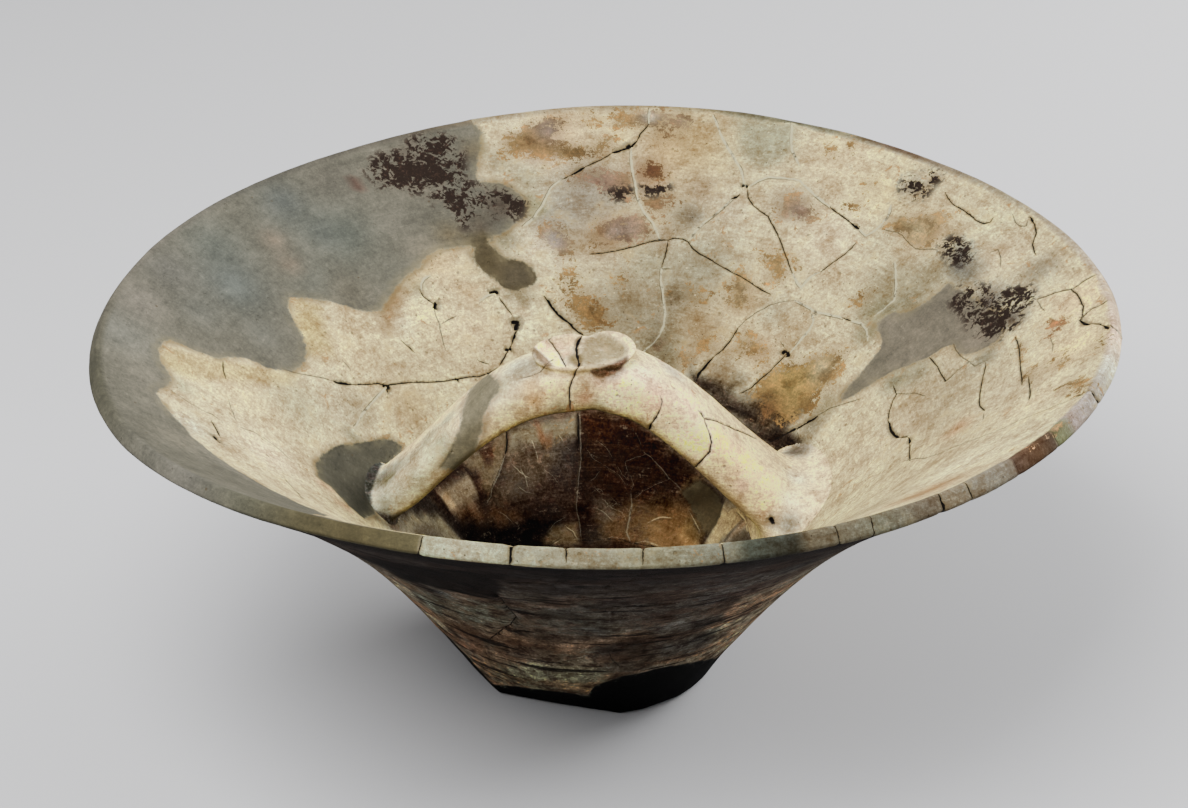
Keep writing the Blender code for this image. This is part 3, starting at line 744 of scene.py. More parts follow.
washes = [  # outline, softness of its edge in mm, strength, colour
    # The washes from here to the strap's shadow darken the floor seen under the arch: partly soot and dark
    # stains, partly painted shade under the strap.
    ([(400, 500), (440, 470), (480, 440), (520, 415), (575, 403), (640, 420), (700, 468), (745, 515),
      (775, 545), (700, 556), (560, 556), (440, 544), (390, 528)], 4, 0.97, (58, 34, 22)),
    ([(510, 448), (545, 440), (576, 436), (577, 500), (560, 512), (520, 508), (500, 500)], 3.5, 0.8,
      (92, 68, 54)),
    ([(545, 440), (576, 436), (577, 470), (556, 472), (544, 456)], 3.0, 0.7, (92, 78, 68)),
    ([(404, 508), (440, 512), (480, 518), (560, 516), (576, 546), (440, 546), (400, 530)], 3.0, 0.5,
      (62, 42, 32)),
    ([(440, 488), (463, 471), (474, 482), (480, 500), (474, 510), (455, 511), (443, 502)], 0.6, 0.95,
      (168, 148, 122)),
    ([(438, 488), (444, 486), (450, 500), (462, 512), (452, 512), (442, 502)], 0.4, 0.9, (206, 188, 160)),
    ([(458, 474), (480, 452), (506, 428), (508, 440), (503, 460), (496, 480), (489, 494), (481, 490),
      (479, 478), (468, 470)], 0.7, 0.9, (140, 118, 90)),
    ([(486, 451), (494, 450), (492, 462), (484, 466), (474, 472), (470, 468), (482, 460)], 0.4, 0.8,
      (84, 48, 30)),
    ([(476, 474), (484, 476), (483, 490), (479, 492), (474, 482)], 0.4, 0.7, (92, 62, 44)),
    ([(509, 430), (545, 416), (578, 411), (579, 434), (560, 440), (540, 446), (522, 446), (508, 456)], 2.5,
      0.95, (156, 140, 114)),
    ([(506, 452), (540, 446), (562, 444), (552, 470), (538, 486), (518, 500), (500, 502), (492, 490)], 3.5,
      0.8, (124, 104, 84)),
    ([(534, 430), (540, 428), (548, 438), (556, 444), (548, 446), (538, 440)], 0.5, 0.6, (150, 98, 64)),
    ([(526, 519), (538, 518), (542, 526), (534, 530), (526, 527)], 0.6, 0.9, (14, 8, 6)),
    ([(498, 526), (520, 530), (530, 544), (505, 546), (494, 536)], 1.0, 0.7, (18, 11, 8)),
    ([(596, 520), (632, 498), (680, 500), (690, 512), (700, 545), (660, 552), (640, 546), (600, 538)], 3,
      0.9, (132, 98, 65)),
    ([(640, 520), (688, 508), (702, 548), (650, 552)], 4.5, 0.9, (162, 125, 84)),
    ([(678, 530), (690, 522), (700, 548), (684, 550)], 2.0, 0.8, (204, 174, 130)),
    ([(700, 550), (710, 534), (720, 508), (724, 498), (738, 504), (768, 545), (740, 552)], 1.2, 0.95,
      (208, 194, 164)),
    ([(728, 540), (744, 528), (768, 545), (736, 552)], 2.2, 0.8, (226, 212, 192)),
    # Painted shadow just below the strap's lower edge, over the sooty floor.
    ([(584, 411), (620, 413), (640, 428), (610, 442), (586, 440)], 2.5, 0.9, (74, 40, 22)),
    ([(402, 510), (440, 514), (500, 524), (560, 520), (560, 548), (480, 546), (405, 535)], 2.5, 0.85,
      (28, 18, 15)),
    ([(450, 510), (478, 506), (510, 508), (524, 520), (500, 528), (458, 520)], 1.6, 0.8, (122, 86, 58)),
    ([(484, 490), (498, 488), (502, 506), (486, 508)], 1.5, 0.6, (108, 88, 68)),
    ([(584, 528), (604, 526), (612, 544), (588, 546)], 2.0, 0.6, (106, 86, 66)),
    ([(684, 518), (704, 514), (712, 532), (694, 544), (684, 536)], 1.5, 0.6, (158, 132, 90)),
    ([(402, 508), (440, 512), (458, 520), (452, 546), (404, 536)], 2.5, 0.8, (84, 66, 54)),
    # This wash and the next are the strap's painted shadow along its lower right edge, over the sooty floor
    # under the arch.
    ([(618, 422), (660, 440), (702, 478), (690, 490), (650, 470), (612, 452)], 3, 0.9, (50, 22, 8)),
    ([(586, 440), (612, 446), (640, 456), (664, 482), (640, 500), (606, 500), (588, 480)], 3, 0.6,
      (60, 30, 15)),
    ([(552, 526), (578, 522), (580, 545), (540, 545), (546, 536)], 1.6, 0.8, (150, 124, 90)),
    ([(594, 498), (612, 500), (618, 518), (604, 524), (594, 514)], 1.6, 0.7, (124, 104, 84)),
    ([(584, 440), (604, 446), (600, 470), (584, 476)], 2.2, 0.7, (70, 44, 28)),
    # This wash and the next are the painted shadow that the strap's right leg casts on the wall behind it.
    ([(690, 372), (716, 384), (742, 400), (768, 424), (792, 432), (800, 442), (802, 466), (780, 456),
      (748, 430), (718, 406), (694, 386)], 2.5, 0.95, (50, 34, 24)),
    ([(744, 392), (776, 400), (802, 412), (786, 430), (764, 424)], 3, 0.85, (84, 60, 40)),
    ([(497, 300), (520, 300), (540, 312), (536, 335), (516, 345), (508, 322)], 1.0, 0.8, (212, 206, 184)),
    ([(160, 345), (200, 356), (262, 368), (300, 374), (290, 384), (230, 380), (190, 378), (164, 366)], 2.0,
      0.6, (190, 174, 128)),
    ([(290, 298), (318, 304), (326, 330), (332, 350), (310, 362), (296, 322)], 1.6, 0.6, (188, 172, 122)),
    ([(400, 270), (432, 254), (462, 250), (452, 262), (424, 276), (410, 292)], 2.0, 0.6, (182, 160, 122)),
    ([(384, 292), (400, 282), (404, 300), (394, 328), (380, 334)], 2.0, 0.8, (150, 118, 80)),
    ([(737, 118), (795, 124), (792, 150), (770, 168), (742, 158)], 2.0, 0.55, (158, 150, 124)),
    ([(466, 126), (482, 132), (480, 160), (468, 150)], 1.5, 0.7, (138, 126, 92)),
    ([(520, 190), (544, 200), (548, 212), (530, 222)], 2.0, 0.7, (150, 136, 100)),
]
dabs = [  # pixel, radius in pixels, colour
    ((560, 130), 40, (192, 172, 140)), ((540, 150), 26, (176, 150, 122)),
    ((515, 125), 16, (204, 194, 170)), ((620, 132), 18, (204, 192, 160)),
    ((668, 150), 30, (182, 156, 116)), ((640, 175), 22, (158, 128, 98)), ((590, 180), 22, (164, 146, 126)),
    ((700, 145), 42, (192, 174, 134)), ((765, 142), 34, (180, 168, 138)),
    ((845, 160), 50, (208, 197, 170)), ((885, 195), 40, (198, 184, 150)),
    ((580, 205), 44, (148, 132, 114)), ((545, 215), 20, (160, 146, 128)),
    ((605, 238), 28, (164, 138, 106)), ((540, 245), 18, (200, 188, 168)),
    ((560, 262), 18, (196, 184, 160)), ((630, 310), 44, (140, 120, 92)), ((650, 262), 26, (164, 150, 122)),
    ((700, 268), 40, (156, 142, 116)), ((730, 212), 24, (194, 182, 158)),
    ((790, 205), 22, (168, 150, 126)), ((830, 235), 42, (206, 195, 172)),
    ((745, 300), 28, (190, 172, 138)), ((775, 310), 18, (182, 170, 144)), ((700, 330), 30, (160, 134, 98)),
    ((655, 178), 16, (164, 132, 100)), ((662, 238), 14, (172, 154, 128)), ((692, 216), 9, (110, 98, 90)),
    ((890, 285), 30, (156, 140, 110)), ((925, 232), 22, (176, 148, 110)),
    ((880, 240), 26, (192, 180, 152)), ((1000, 255), 34, (198, 184, 158)),
    ((1042, 268), 18, (156, 136, 110)), ((1080, 300), 40, (210, 196, 168)),
    ((1075, 345), 40, (214, 203, 174)), ((1000, 220), 36, (198, 188, 160)),
    ((945, 395), 50, (172, 154, 124)), ((900, 430), 40, (190, 174, 146)),
    ((1000, 395), 36, (198, 186, 160)), ((1035, 400), 36, (210, 200, 174)),
    ((958, 428), 14, (184, 150, 112)), ((860, 462), 44, (200, 188, 162)),
    ((820, 480), 30, (210, 200, 178)), ((960, 465), 40, (208, 200, 178)),
    ((1030, 435), 26, (206, 198, 174)), ((800, 350), 26, (196, 184, 156)),
    ((760, 350), 16, (194, 174, 142)), ((720, 375), 14, (136, 112, 84)), ((350, 345), 40, (208, 198, 170)),
    ((305, 325), 14, (196, 180, 140)), ((240, 390), 50, (206, 195, 166)),
    ((175, 365), 14, (194, 182, 142)), ((300, 405), 34, (186, 176, 148)),
    ((345, 412), 30, (196, 186, 162)), ((420, 318), 30, (208, 198, 170)),
    ((470, 330), 36, (204, 191, 164)), ((445, 270), 22, (194, 176, 144)),
    ((408, 405), 26, (182, 162, 126)), ((270, 455), 40, (216, 208, 190)),
    ((190, 425), 22, (206, 202, 186)), ((470, 292), 12, (188, 166, 130)),
    ((520, 312), 12, (192, 174, 142)), ((405, 325), 12, (212, 206, 186)), ((660, 340), 22, (134, 116, 88)),
    ((656, 346), 12, (112, 92, 66)), ((800, 446), 14, (136, 120, 96)), ((662, 322), 14, (142, 124, 98)),
    ((729, 503), 8, (206, 178, 134)), ((694, 531), 7, (192, 166, 120)), ((504, 238), 14, (130, 114, 86)),
    ((868, 332), 14, (138, 122, 90)), ((896, 380), 14, (134, 120, 92)), ((886, 309), 14, (132, 117, 88)),
    ((415, 286), 12, (152, 132, 98)), ((826, 406), 16, (148, 128, 94)), ((812, 424), 13, (136, 118, 92)),
    ((930, 276), 24, (148, 130, 100)), ((910, 302), 18, (136, 121, 94)), ((872, 312), 16, (142, 126, 95)),
    ((917, 372), 18, (146, 130, 102)), ((968, 274), 16, (124, 111, 94)),
    ((1038, 272), 18, (154, 137, 110)), ((984, 358), 14, (142, 128, 104)),
    ((686, 216), 16, (140, 122, 98)), ((498, 162), 16, (156, 138, 108)), ((526, 178), 18, (162, 147, 118)),
    ((700, 190), 18, (164, 140, 110)), ((518, 297), 14, (140, 122, 92)), ((616, 230), 14, (196, 172, 142)),
    ((468, 470), 8, (158, 138, 110)), ((360, 412), 22, (180, 166, 138)), ((326, 486), 10, (190, 162, 130)),
    ((344, 506), 9, (190, 160, 128)), ((1010, 165), 30, (196, 184, 152)), ((960, 265), 14, (104, 92, 82)),
    ((985, 305), 22, (98, 84, 78)), ((1012, 318), 14, (92, 76, 68)), ((960, 255), 12, (112, 106, 100)),
    ((915, 186), 14, (150, 132, 108)), ((668, 361), 10, (146, 128, 98)), ((575, 357), 8, (150, 130, 96)),
    ((388, 478), 8, (128, 112, 86)), ((379, 519), 8, (86, 74, 54)), ((669, 426), 9, (206, 192, 160)),
    ((664, 362), 14, (130, 112, 84)), ((674, 297), 16, (126, 108, 84)), ((1010, 459), 14, (206, 196, 174)),
    ((182, 386), 10, (172, 160, 128)), ((737, 383), 10, (124, 104, 78)), ((465, 528), 8, (104, 80, 62)),
    ((353, 438), 9, (136, 122, 94)), ((950, 304), 12, (150, 138, 118)), ((648, 354), 8, (138, 120, 90)),
    ((982, 327), 10, (140, 126, 112)),
]
coat_dabs = [
    ((686, 122), 12, (180, 156, 122)), ((548, 130), 22, (112, 88, 74)), ((530, 150), 20, (142, 104, 62)),
    ((580, 155), 20, (150, 116, 66)), ((630, 120), 26, (164, 124, 72)), ((672, 120), 20, (146, 110, 76)),
    ((668, 138), 14, (150, 112, 72)), ((600, 186), 36, (140, 104, 82)), ((652, 170), 18, (112, 68, 44)),
    ((668, 205), 22, (136, 96, 62)), ((628, 230), 30, (152, 118, 92)), ((556, 240), 22, (104, 74, 56)),
    ((592, 312), 26, (156, 112, 62)), ((750, 290), 26, (186, 156, 106)), ((775, 268), 18, (160, 122, 72)),
    ((798, 212), 22, (160, 128, 102)), ((745, 345), 26, (176, 138, 84)), ((790, 385), 36, (172, 136, 74)),
    ((766, 412), 20, (112, 72, 42)), ((920, 232), 32, (182, 154, 106)), ((1055, 330), 30, (172, 118, 76)),
    ((1040, 450), 30, (216, 186, 148)), ((690, 360), 14, (160, 124, 80)),
    ((822, 368), 14, (188, 166, 120)), ((740, 400), 12, (176, 146, 96)), ((649, 117), 13, (206, 186, 154)),
    ((616, 230), 12, (198, 170, 140)), ((553, 240), 12, (192, 172, 146)),
]
plaster_dabs = [
    ((120, 330), 40, (152, 150, 138)), ((140, 300), 30, (154, 147, 134)),
    ((150, 380), 30, (158, 152, 136)), ((180, 440), 30, (168, 161, 142)),
    ((240, 468), 36, (172, 166, 149)), ((290, 495), 24, (176, 170, 152)),
    ((170, 270), 34, (138, 134, 124)), ((215, 245), 40, (124, 126, 116)),
    ((200, 310), 28, (146, 144, 132)), ((235, 285), 40, (124, 128, 122)),
    ((262, 332), 24, (141, 139, 127)), ((290, 215), 40, (128, 128, 117)),
    ((330, 180), 30, (134, 128, 115)), ((345, 235), 40, (124, 127, 117)),
    ((310, 275), 30, (134, 134, 122)), ((350, 292), 22, (146, 139, 122)),
    ((385, 265), 26, (137, 134, 120)), ((400, 220), 26, (142, 137, 123)),
    ((425, 250), 18, (154, 146, 128)), ((450, 235), 16, (150, 136, 108)), ((480, 225), 14, (118, 106, 90)),
    ((475, 150), 14, (144, 130, 103)), ((500, 205), 16, (92, 78, 66)), ((420, 165), 30, (128, 118, 104)),
    ((490, 262), 16, (102, 88, 62)), ((515, 276), 16, (110, 98, 78)), ((274, 240), 15, (152, 138, 120)),
    ((291, 264), 15, (152, 138, 120)), ((357, 183), 6, (96, 48, 40)), ((282, 200), 24, (122, 124, 118)),
    ((322, 232), 20, (120, 122, 114)), ((900, 335), 26, (133, 129, 114)),
    ((878, 368), 22, (122, 118, 104)), ((930, 318), 22, (130, 122, 106)),
    ((965, 332), 20, (148, 139, 122)), ((995, 330), 12, (140, 128, 112)), ((340, 474), 26, (100, 97, 84)),
    ((362, 498), 14, (84, 82, 71)), ((388, 450), 14, (100, 96, 82)), ((700, 498), 14, (56, 42, 26)),
    ((708, 520), 12, (80, 66, 46)), ((376, 516), 8, (68, 62, 48)), ((395, 175), 14, (152, 142, 124)),
]
plaster_washes = [
    ([(308, 462), (325, 446), (350, 438), (388, 432), (410, 444), (400, 466), (380, 500), (378, 530),
      (350, 520), (325, 494)], 1.5, 0.95, (106, 102, 88)),
    ([(366, 520), (352, 506), (356, 486), (372, 480), (380, 500)], 2.5, 0.7, (80, 77, 66)),
    ([(466, 240), (485, 232), (515, 250), (545, 270), (540, 295), (510, 300), (484, 284), (462, 258)], 1.5,
      0.95, (108, 95, 70)),
    ([(500, 262), (524, 262), (536, 275), (528, 286), (505, 286)], 2.0, 0.7, (112, 101, 82)),
    ([(676, 476), (700, 472), (730, 500), (724, 530), (706, 545), (680, 512)], 1.5, 0.95, (92, 76, 50)),
    ([(696, 502), (724, 506), (718, 530), (706, 542), (694, 520)], 2.5, 0.9, (146, 128, 94)),
    ([(870, 320), (900, 306), (950, 280), (1010, 318), (1006, 345), (930, 365), (840, 406), (836, 396),
      (874, 350)], 1.5, 0.9, (156, 146, 128)),
    ([(955, 300), (1006, 316), (1006, 345), (958, 358)], 4.0, 0.6, (172, 160, 140)),
    ([(864, 360), (890, 352), (886, 376), (850, 398), (844, 392)], 3.0, 0.7, (142, 134, 116)),
]
outer_dabs = [
    ((450, 608), 36, (96, 88, 72)), ((480, 640), 24, (104, 92, 76)), ((500, 600), 24, (72, 62, 54)),
    ((520, 650), 18, (92, 66, 50)), ((540, 640), 18, (92, 76, 62)), ((560, 655), 20, (112, 96, 78)),
    ((600, 630), 26, (80, 68, 57)), ((560, 590), 26, (50, 40, 36)), ((540, 600), 16, (66, 58, 50)),
    ((580, 682), 24, (132, 120, 98)), ((530, 682), 16, (136, 122, 100)), ((640, 655), 18, (84, 56, 38)),
    ((620, 650), 10, (64, 42, 30)), ((655, 640), 16, (92, 72, 58)), ((660, 615), 24, (76, 62, 54)),
    ((507, 672), 22, (136, 126, 106)), ((545, 674), 18, (140, 128, 106)), ((606, 651), 16, (40, 27, 21)),
    ((636, 642), 18, (44, 30, 23)), ((567, 614), 20, (52, 42, 36)), ((596, 608), 18, (44, 35, 30)),
    # The near-black dabs close under the lip, here and below, are partly dark plaster, partly painted shade
    # under the lip.
    ((400, 566), 16, (12, 9, 8)), ((430, 572), 18, (14, 11, 9)), ((360, 556), 18, (12, 10, 8)),
    ((470, 574), 16, (20, 15, 13)), ((640, 600), 24, (74, 62, 54)), ((700, 625), 20, (82, 72, 64)),
    ((720, 598), 20, (80, 64, 56)), ((752, 590), 20, (84, 68, 60)), ((780, 580), 20, (82, 72, 66)),
    ((720, 580), 24, (54, 46, 42)), ((650, 580), 26, (48, 40, 37)), ((430, 590), 20, (50, 44, 40)),
    ((400, 572), 24, (24, 20, 17)), ((440, 575), 20, (24, 20, 17)), ((500, 575), 30, (30, 24, 22)),
    ((590, 578), 30, (34, 27, 25)), ((800, 566), 20, (62, 54, 50)), ((585, 622), 10, (86, 84, 70)),
    ((710, 634), 10, (84, 80, 66)), ((480, 612), 16, (104, 98, 82)), ((560, 672), 20, (120, 106, 86)),
    ((500, 662), 16, (110, 96, 78)),
]
outer_washes = [
    # The dark band under the left lip is partly dark plaster, partly painted shade under the lip.
    ([(366, 556), (400, 563), (440, 569), (500, 575), (498, 598), (470, 595), (440, 588), (404, 580)], 1.0,
      0.8, (26, 18, 14)),
    ([(410, 590), (440, 597), (470, 603), (499, 602), (513, 614), (502, 630), (480, 638), (450, 628)], 1.5,
      0.55, (112, 104, 88)),
    ([(446, 625), (466, 622), (484, 634), (484, 650), (468, 654), (452, 640)], 2.0, 0.5, (110, 82, 64)),
    ([(492, 640), (530, 643), (562, 649), (560, 664), (520, 662), (496, 655)], 2.0, 0.5, (100, 74, 56)),
    ([(486, 668), (520, 664), (560, 668), (606, 666), (620, 684), (600, 692), (540, 690), (500, 686)], 1.5,
      0.7, (146, 136, 113)),
    ([(596, 645), (640, 638), (664, 648), (654, 668), (618, 680), (600, 668)], 3.5, 0.5, (58, 42, 32)),
    ([(500, 606), (560, 612), (606, 616), (612, 640), (560, 643), (515, 634)], 3.0, 0.55, (66, 55, 46)),
    ([(655, 636), (700, 628), (716, 640), (690, 656), (662, 660)], 2.5, 0.55, (60, 48, 41)),
    ([(596, 600), (680, 596), (724, 594), (740, 600), (712, 626), (650, 634), (604, 624)], 2.5, 0.55,
      (66, 53, 46)),
    ([(690, 576), (760, 570), (780, 580), (744, 596), (704, 594)], 2.0, 0.5, (92, 78, 70)),
]
lip_colours = [  # round the lip by the pixel that faces each colour, first the near side from the left
    ((97, 370), (118, 116, 98)), ((110, 405), (130, 128, 110)), ((150, 440), (153, 151, 135)),
    ((200, 475), (145, 143, 131)), ((250, 497), (132, 131, 111)), ((300, 516), (121, 114, 85)),
    ((350, 532), (118, 109, 78)), ((390, 543), (124, 116, 84)), ((416, 548), (134, 126, 92)),
    ((419, 548), (186, 184, 158)), ((460, 553), (192, 187, 162)), ((508, 556), (180, 176, 150)),
    ((511, 556), (172, 165, 139)), ((567, 560), (172, 164, 138)), ((600, 560), (162, 152, 126)),
    ((660, 558), (152, 141, 112)), ((724, 554), (148, 142, 122)), ((738, 551), (124, 114, 92)),
    ((741, 551), (86, 83, 67)), ((800, 541), (80, 75, 62)), ((804, 541), (128, 112, 88)),
    ((850, 530), (140, 129, 107)), ((880, 523), (138, 131, 109)), ((920, 512), (131, 116, 96)),
    ((941, 505), (134, 118, 98)), ((945, 503), (156, 140, 115)), ((990, 483), (158, 147, 129)),
    ((1015, 472), (150, 136, 118)), ((1018, 470), (112, 84, 66)), ((1040, 458), (120, 88, 62)),
    ((1057, 447), (106, 84, 66)), ((1060, 444), (136, 132, 96)), ((1070, 436), (140, 134, 100)),
    ((1074, 432), (187, 172, 162)), ((1100, 400), (184, 174, 160)), ((1110, 370), (210, 207, 191)),
    ((1118, 340), (218, 206, 188)), ((1000, 190), (170, 156, 128)), ((885, 150), (112, 86, 66)),
    ((850, 139), (150, 138, 110)), ((795, 122), (120, 112, 88)), ((738, 114), (130, 120, 94)),
    ((700, 111), (176, 160, 124)), ((560, 108), (180, 164, 134)), ((480, 121), (172, 158, 130)),
    ((400, 137), (134, 128, 114)), ((250, 182), (132, 130, 118)), ((130, 262), (150, 146, 132)),
]
near_wall_spots = [  # run down from the lip in metres and direction in degrees, radius in metres, colour
    ((-0.030, -120), 0.022, (184, 168, 134)), ((-0.055, -104), 0.026, (170, 152, 118)),
    ((-0.085, -118), 0.024, (160, 140, 106)), ((-0.040, -88), 0.020, (206, 196, 168)),
    ((-0.075, -84), 0.028, (152, 132, 100)), ((-0.025, -68), 0.018, (178, 158, 122)),
    ((-0.060, -62), 0.026, (188, 176, 146)), ((-0.100, -70), 0.028, (128, 106, 78)),
    # The spots that lie deepest, 0.15 m and more down from the lip, are dark: partly soot, partly painted
    # shade on the bowl's floor.
    ((-0.110, -95), 0.030, (118, 94, 68)), ((-0.150, -84), 0.045, (70, 46, 32)),
    ((-0.130, -112), 0.026, (104, 80, 58)), ((-0.045, -140), 0.024, (192, 180, 150)),
    ((-0.035, -50), 0.016, (164, 128, 88)), ((-0.090, -48), 0.022, (180, 164, 132)),
    ((-0.170, -62), 0.030, (92, 66, 46)), ((-0.175, -118), 0.030, (84, 60, 44)),
    ((-0.190, -90), 0.036, (62, 42, 30)), ((-0.230, -90), 0.040, (56, 36, 25)),
    ((-0.260, 0), 0.045, (58, 36, 25)), ((-0.215, 0), 0.022, (74, 50, 36)),
    ((-0.215, 180), 0.022, (60, 40, 30)),
]
far_side_spots = [
    ((0.040, 60), 0.030, (46, 36, 30)), ((0.075, 75), 0.026, (98, 84, 70)),
    ((0.055, 100), 0.030, (66, 50, 40)), ((0.095, 110), 0.024, (118, 104, 84)),
    ((0.070, 135), 0.028, (84, 66, 52)), ((0.110, 150), 0.022, (72, 48, 34)),
    ((0.050, 160), 0.028, (50, 40, 34)), ((0.090, 180), 0.026, (104, 94, 78)),
    ((0.060, 30), 0.026, (78, 64, 54)), ((0.105, 40), 0.022, (80, 54, 38)),
    ((0.085, 10), 0.024, (96, 84, 70)), ((0.120, 85), 0.022, (124, 110, 90)),
    ((0.045, -165), 0.024, (60, 48, 40)), ((0.100, -160), 0.024, (108, 96, 80)),
]
TONED = 0.95  # how dark the plaster was painted outside, next to the clay
COAT_COLOUR = (152, 114, 66)
# The outside darkens towards the lip: partly its own dark colour, partly painted shade under the lip's
# overhang.
OUTER_COLOURS = [  # metres down from the lip, colour
    (0.0, (23, 16, 13)), (0.018, (34, 24, 20)), (0.045, (60, 48, 41)), (0.085, (80, 67, 58)),
    (0.150, (150, 134, 114)),
]
INNER_COLOUR, PLASTER_COLOUR = (198, 186, 158), (140, 135, 120)
FOOT_FILL_COLOUR = (3, 3, 3)
FOOT_EDGE_TRACE = [
    (455, 642), (470, 656), (485, 672), (497, 685), (507, 689), (530, 690), (555, 692), (580, 694),
    (606, 697), (608, 690), (615, 684), (628, 679), (640, 674), (655, 671), (670, 666), (685, 662),
    (700, 659), (712, 656), (722, 654),
]
LIP_FILL_ENDS = ((470, 124), (418, 548))
LIP_FILL_REACH = 0.012
PIXEL_AT_BOWL = 0.00046  # metres that a pixel spans at the bowl
LIP_RUN = 0.0052
LIP_SHADE = (0.94, 0.92, 0.92)
FAR_EDGE = 0.030
FEWEST_CORNERS = 4
FILL_SUNK, FILL_SUNK_OVER = 0.0004, 1.5  # metres down, over so many millimetres from its edge
FOOT_FILL_OVERLAP = 2  # millimetres that its colour runs on under the sherds' edge
LIP_TO_OUTSIDE = (0.8, 1.2)  # runs, in lip runs, over which the outside's finish begins
DAB, PLASTER_DAB, OUTER_DAB, SPOT = 0.85, 0.9, 0.7, 0.8  # how much of a stroke's colour its middle has
TURNED_SOFTLY = 0.06
OUT_OF_SIGHT, NEAR_LIP = 0.030, -0.150  # y of the last clay seen over the near lip, and of that lip


def pigment(colour):
    """A colour as it shows, 0 to 255, on the scale of 0 to 1 that the finishes are mixed in."""
    return np.asarray(colour, float) / 255


def inside_outline(points, outline):
    """Whether flat points lie inside a closed outline."""
    x, y = points.T
    within = np.zeros(len(points), bool)
    for (x0, y0), (x1, y1) in zip(outline, np.roll(outline, -1, axis=0)):
        crossing = (y0 > y) != (y1 > y)
        with np.errstate(divide="ignore", invalid="ignore"):
            within ^= crossing & (x < (x1 - x0) * (y - y0) / (y1 - y0) + x0)
    return within


def depth_within(places, outline):
    """How far each place is inside an outline on the clay, seen from above, in mm, and below 0 outside it."""
    outline = np.array([p[:] for p in outline])
    tree = KDTree(len(outline))
    for i, place in enumerate(outline):
        tree.insert(place, i)
    tree.balance()
    low, high = outline.min(0) - FAR_EDGE, outline.max(0) + FAR_EDGE
    close = np.all((places > low) & (places < high), axis=1)
    depth = np.full(len(places), -FAR_EDGE)
    far = np.array([tree.find(p)[2] for p in places[close]])
    within = inside_outline(places[close][:, :2], outline[:, :2])
    depth[close] = np.where(within, far, -np.minimum(far, FAR_EDGE))
    return depth * MILLIMETRES


def patch(mesh, places, outlines, both_faces):
    """The depth of each vertex within any of the outlines, on one face of the wall or on both."""
    run = read_attribute(mesh, "run")
    deepest = np.full(len(places), -FAR_EDGE * MILLIMETRES)
    for pixels in outlines:
        drawn = wall_marks.traced(pixels + pixels[:1])
        on_inside = run < 0
        inner = depth_within(places[on_inside], [p for p, _ in drawn])
        deepest[on_inside] = np.maximum(deepest[on_inside], inner)
        outer = [p for p, _ in wall_marks.through(drawn)] if both_faces else []
        if len(outer) >= FEWEST_CORNERS:
            deepest[~on_inside] = np.maximum(deepest[~on_inside], depth_within(places[~on_inside], outer))
    return deepest


def dab_on(colours, places, marks, strokes, strength=DAB):
    """Lays soft dabs of colour, one over the other."""
    for (x, y), radius, colour in strokes:
        place, _ = marks.under_pixel(x, y)
        if place is None:
            continue
        far = np.linalg.norm(places - np.array(place), axis=1) / (radius * PIXEL_AT_BOWL)
        weight = (strength * np.exp(-(far**2)))[:, None]
        colours += (pigment(colour) - colours) * weight
    return colours


def spots_on(colours, places, strokes):
    """Lays soft dabs where the photograph doesn't show the wall, by run from the lip and direction."""
    for (run, direction), radius, colour in strokes:
        place, _ = on_wall(run, math.radians(direction))
        far = np.linalg.norm(places - np.array(place), axis=1) / radius
        colours += (pigment(colour) - colours) * (SPOT * np.exp(-(far**2)))[:, None]
    return colours


def foot_fill_depth(places):
    """How far each place is below the sherds' broken lower edge, in mm."""
    traced = [wall_marks.under_pixel(*pixel)[0] for pixel in FOOT_EDGE_TRACE]
    angles = np.array([angle_of(p) for p in traced])
    heights = np.array([p.z for p in traced])
    order = np.argsort(angles)
    angle = np.arctan2(places[:, 1], places[:, 0])
    edge = np.interp(angle, angles[order], heights[order], period=math.tau)
    return np.clip((edge - places[:, 2]) * MILLIMETRES, -FAR_EDGE * MILLIMETRES, FAR_EDGE * MILLIMETRES)


def towards_eye(places, normals):
    """1 where the clay is turned to the eye, and 0 where it is turned away."""
    sights = np.array(EYE) - places
    return np.clip(np.sum(normals * sights, axis=1) / np.linalg.norm(sights, axis=1) / TURNED_SOFTLY, 0, 1)


def held_back(place):
    """A place on the near lip, moved along its line of sight to just past the last clay in sight."""
    if place.y > NEAR_LIP:
        return place
    share = (OUT_OF_SIGHT - EYE.y) / (place.y - EYE.y)
    above = Vector((EYE.x + (place.x - EYE.x) * share, OUT_OF_SIGHT, RIM_HEIGHT))
    return wall_marks.surface.ray_cast(above, Vector((0, 0, -1)))[0] or place


def wash_on(colours, places, turned_to, strokes, under_lip=False):
    """Lays an even colour over each outlined patch, with its edge as soft as it says."""
    for outline, softness, strength, colour in strokes:
        drawn = [held_back(p) if under_lip else p for p, _ in wall_marks.traced(outline + outline[:1])]
        weight = np.clip(depth_within(places, drawn) / softness / 2 + 0.5, 0, 1)
        weight = (weight * turned_to * strength)[:, None]
        colours += (pigment(colour) - colours) * weight
    return colours


def round_the_lip(places):
    """The lip's colour at each place, by the angle that it is seen at."""
    angles = np.array([angle_of(wall_marks.under_pixel(*pixel)[0]) for pixel, _ in lip_colours])
    tones = np.array([pigment(colour) for _, colour in lip_colours]) * LIP_SHADE
    order = np.argsort(angles)
    at = np.arctan2(places[:, 1], places[:, 0] - LEAN)
    return np.stack([np.interp(at, angles[order], tones[order, i], period=math.tau) for i in range(3)], 1)


def paint_on(mesh, name, colours):
    write_attribute(mesh, name, np.c_[colours, np.ones(len(colours))].astype(np.float32), "FLOAT_COLOR")


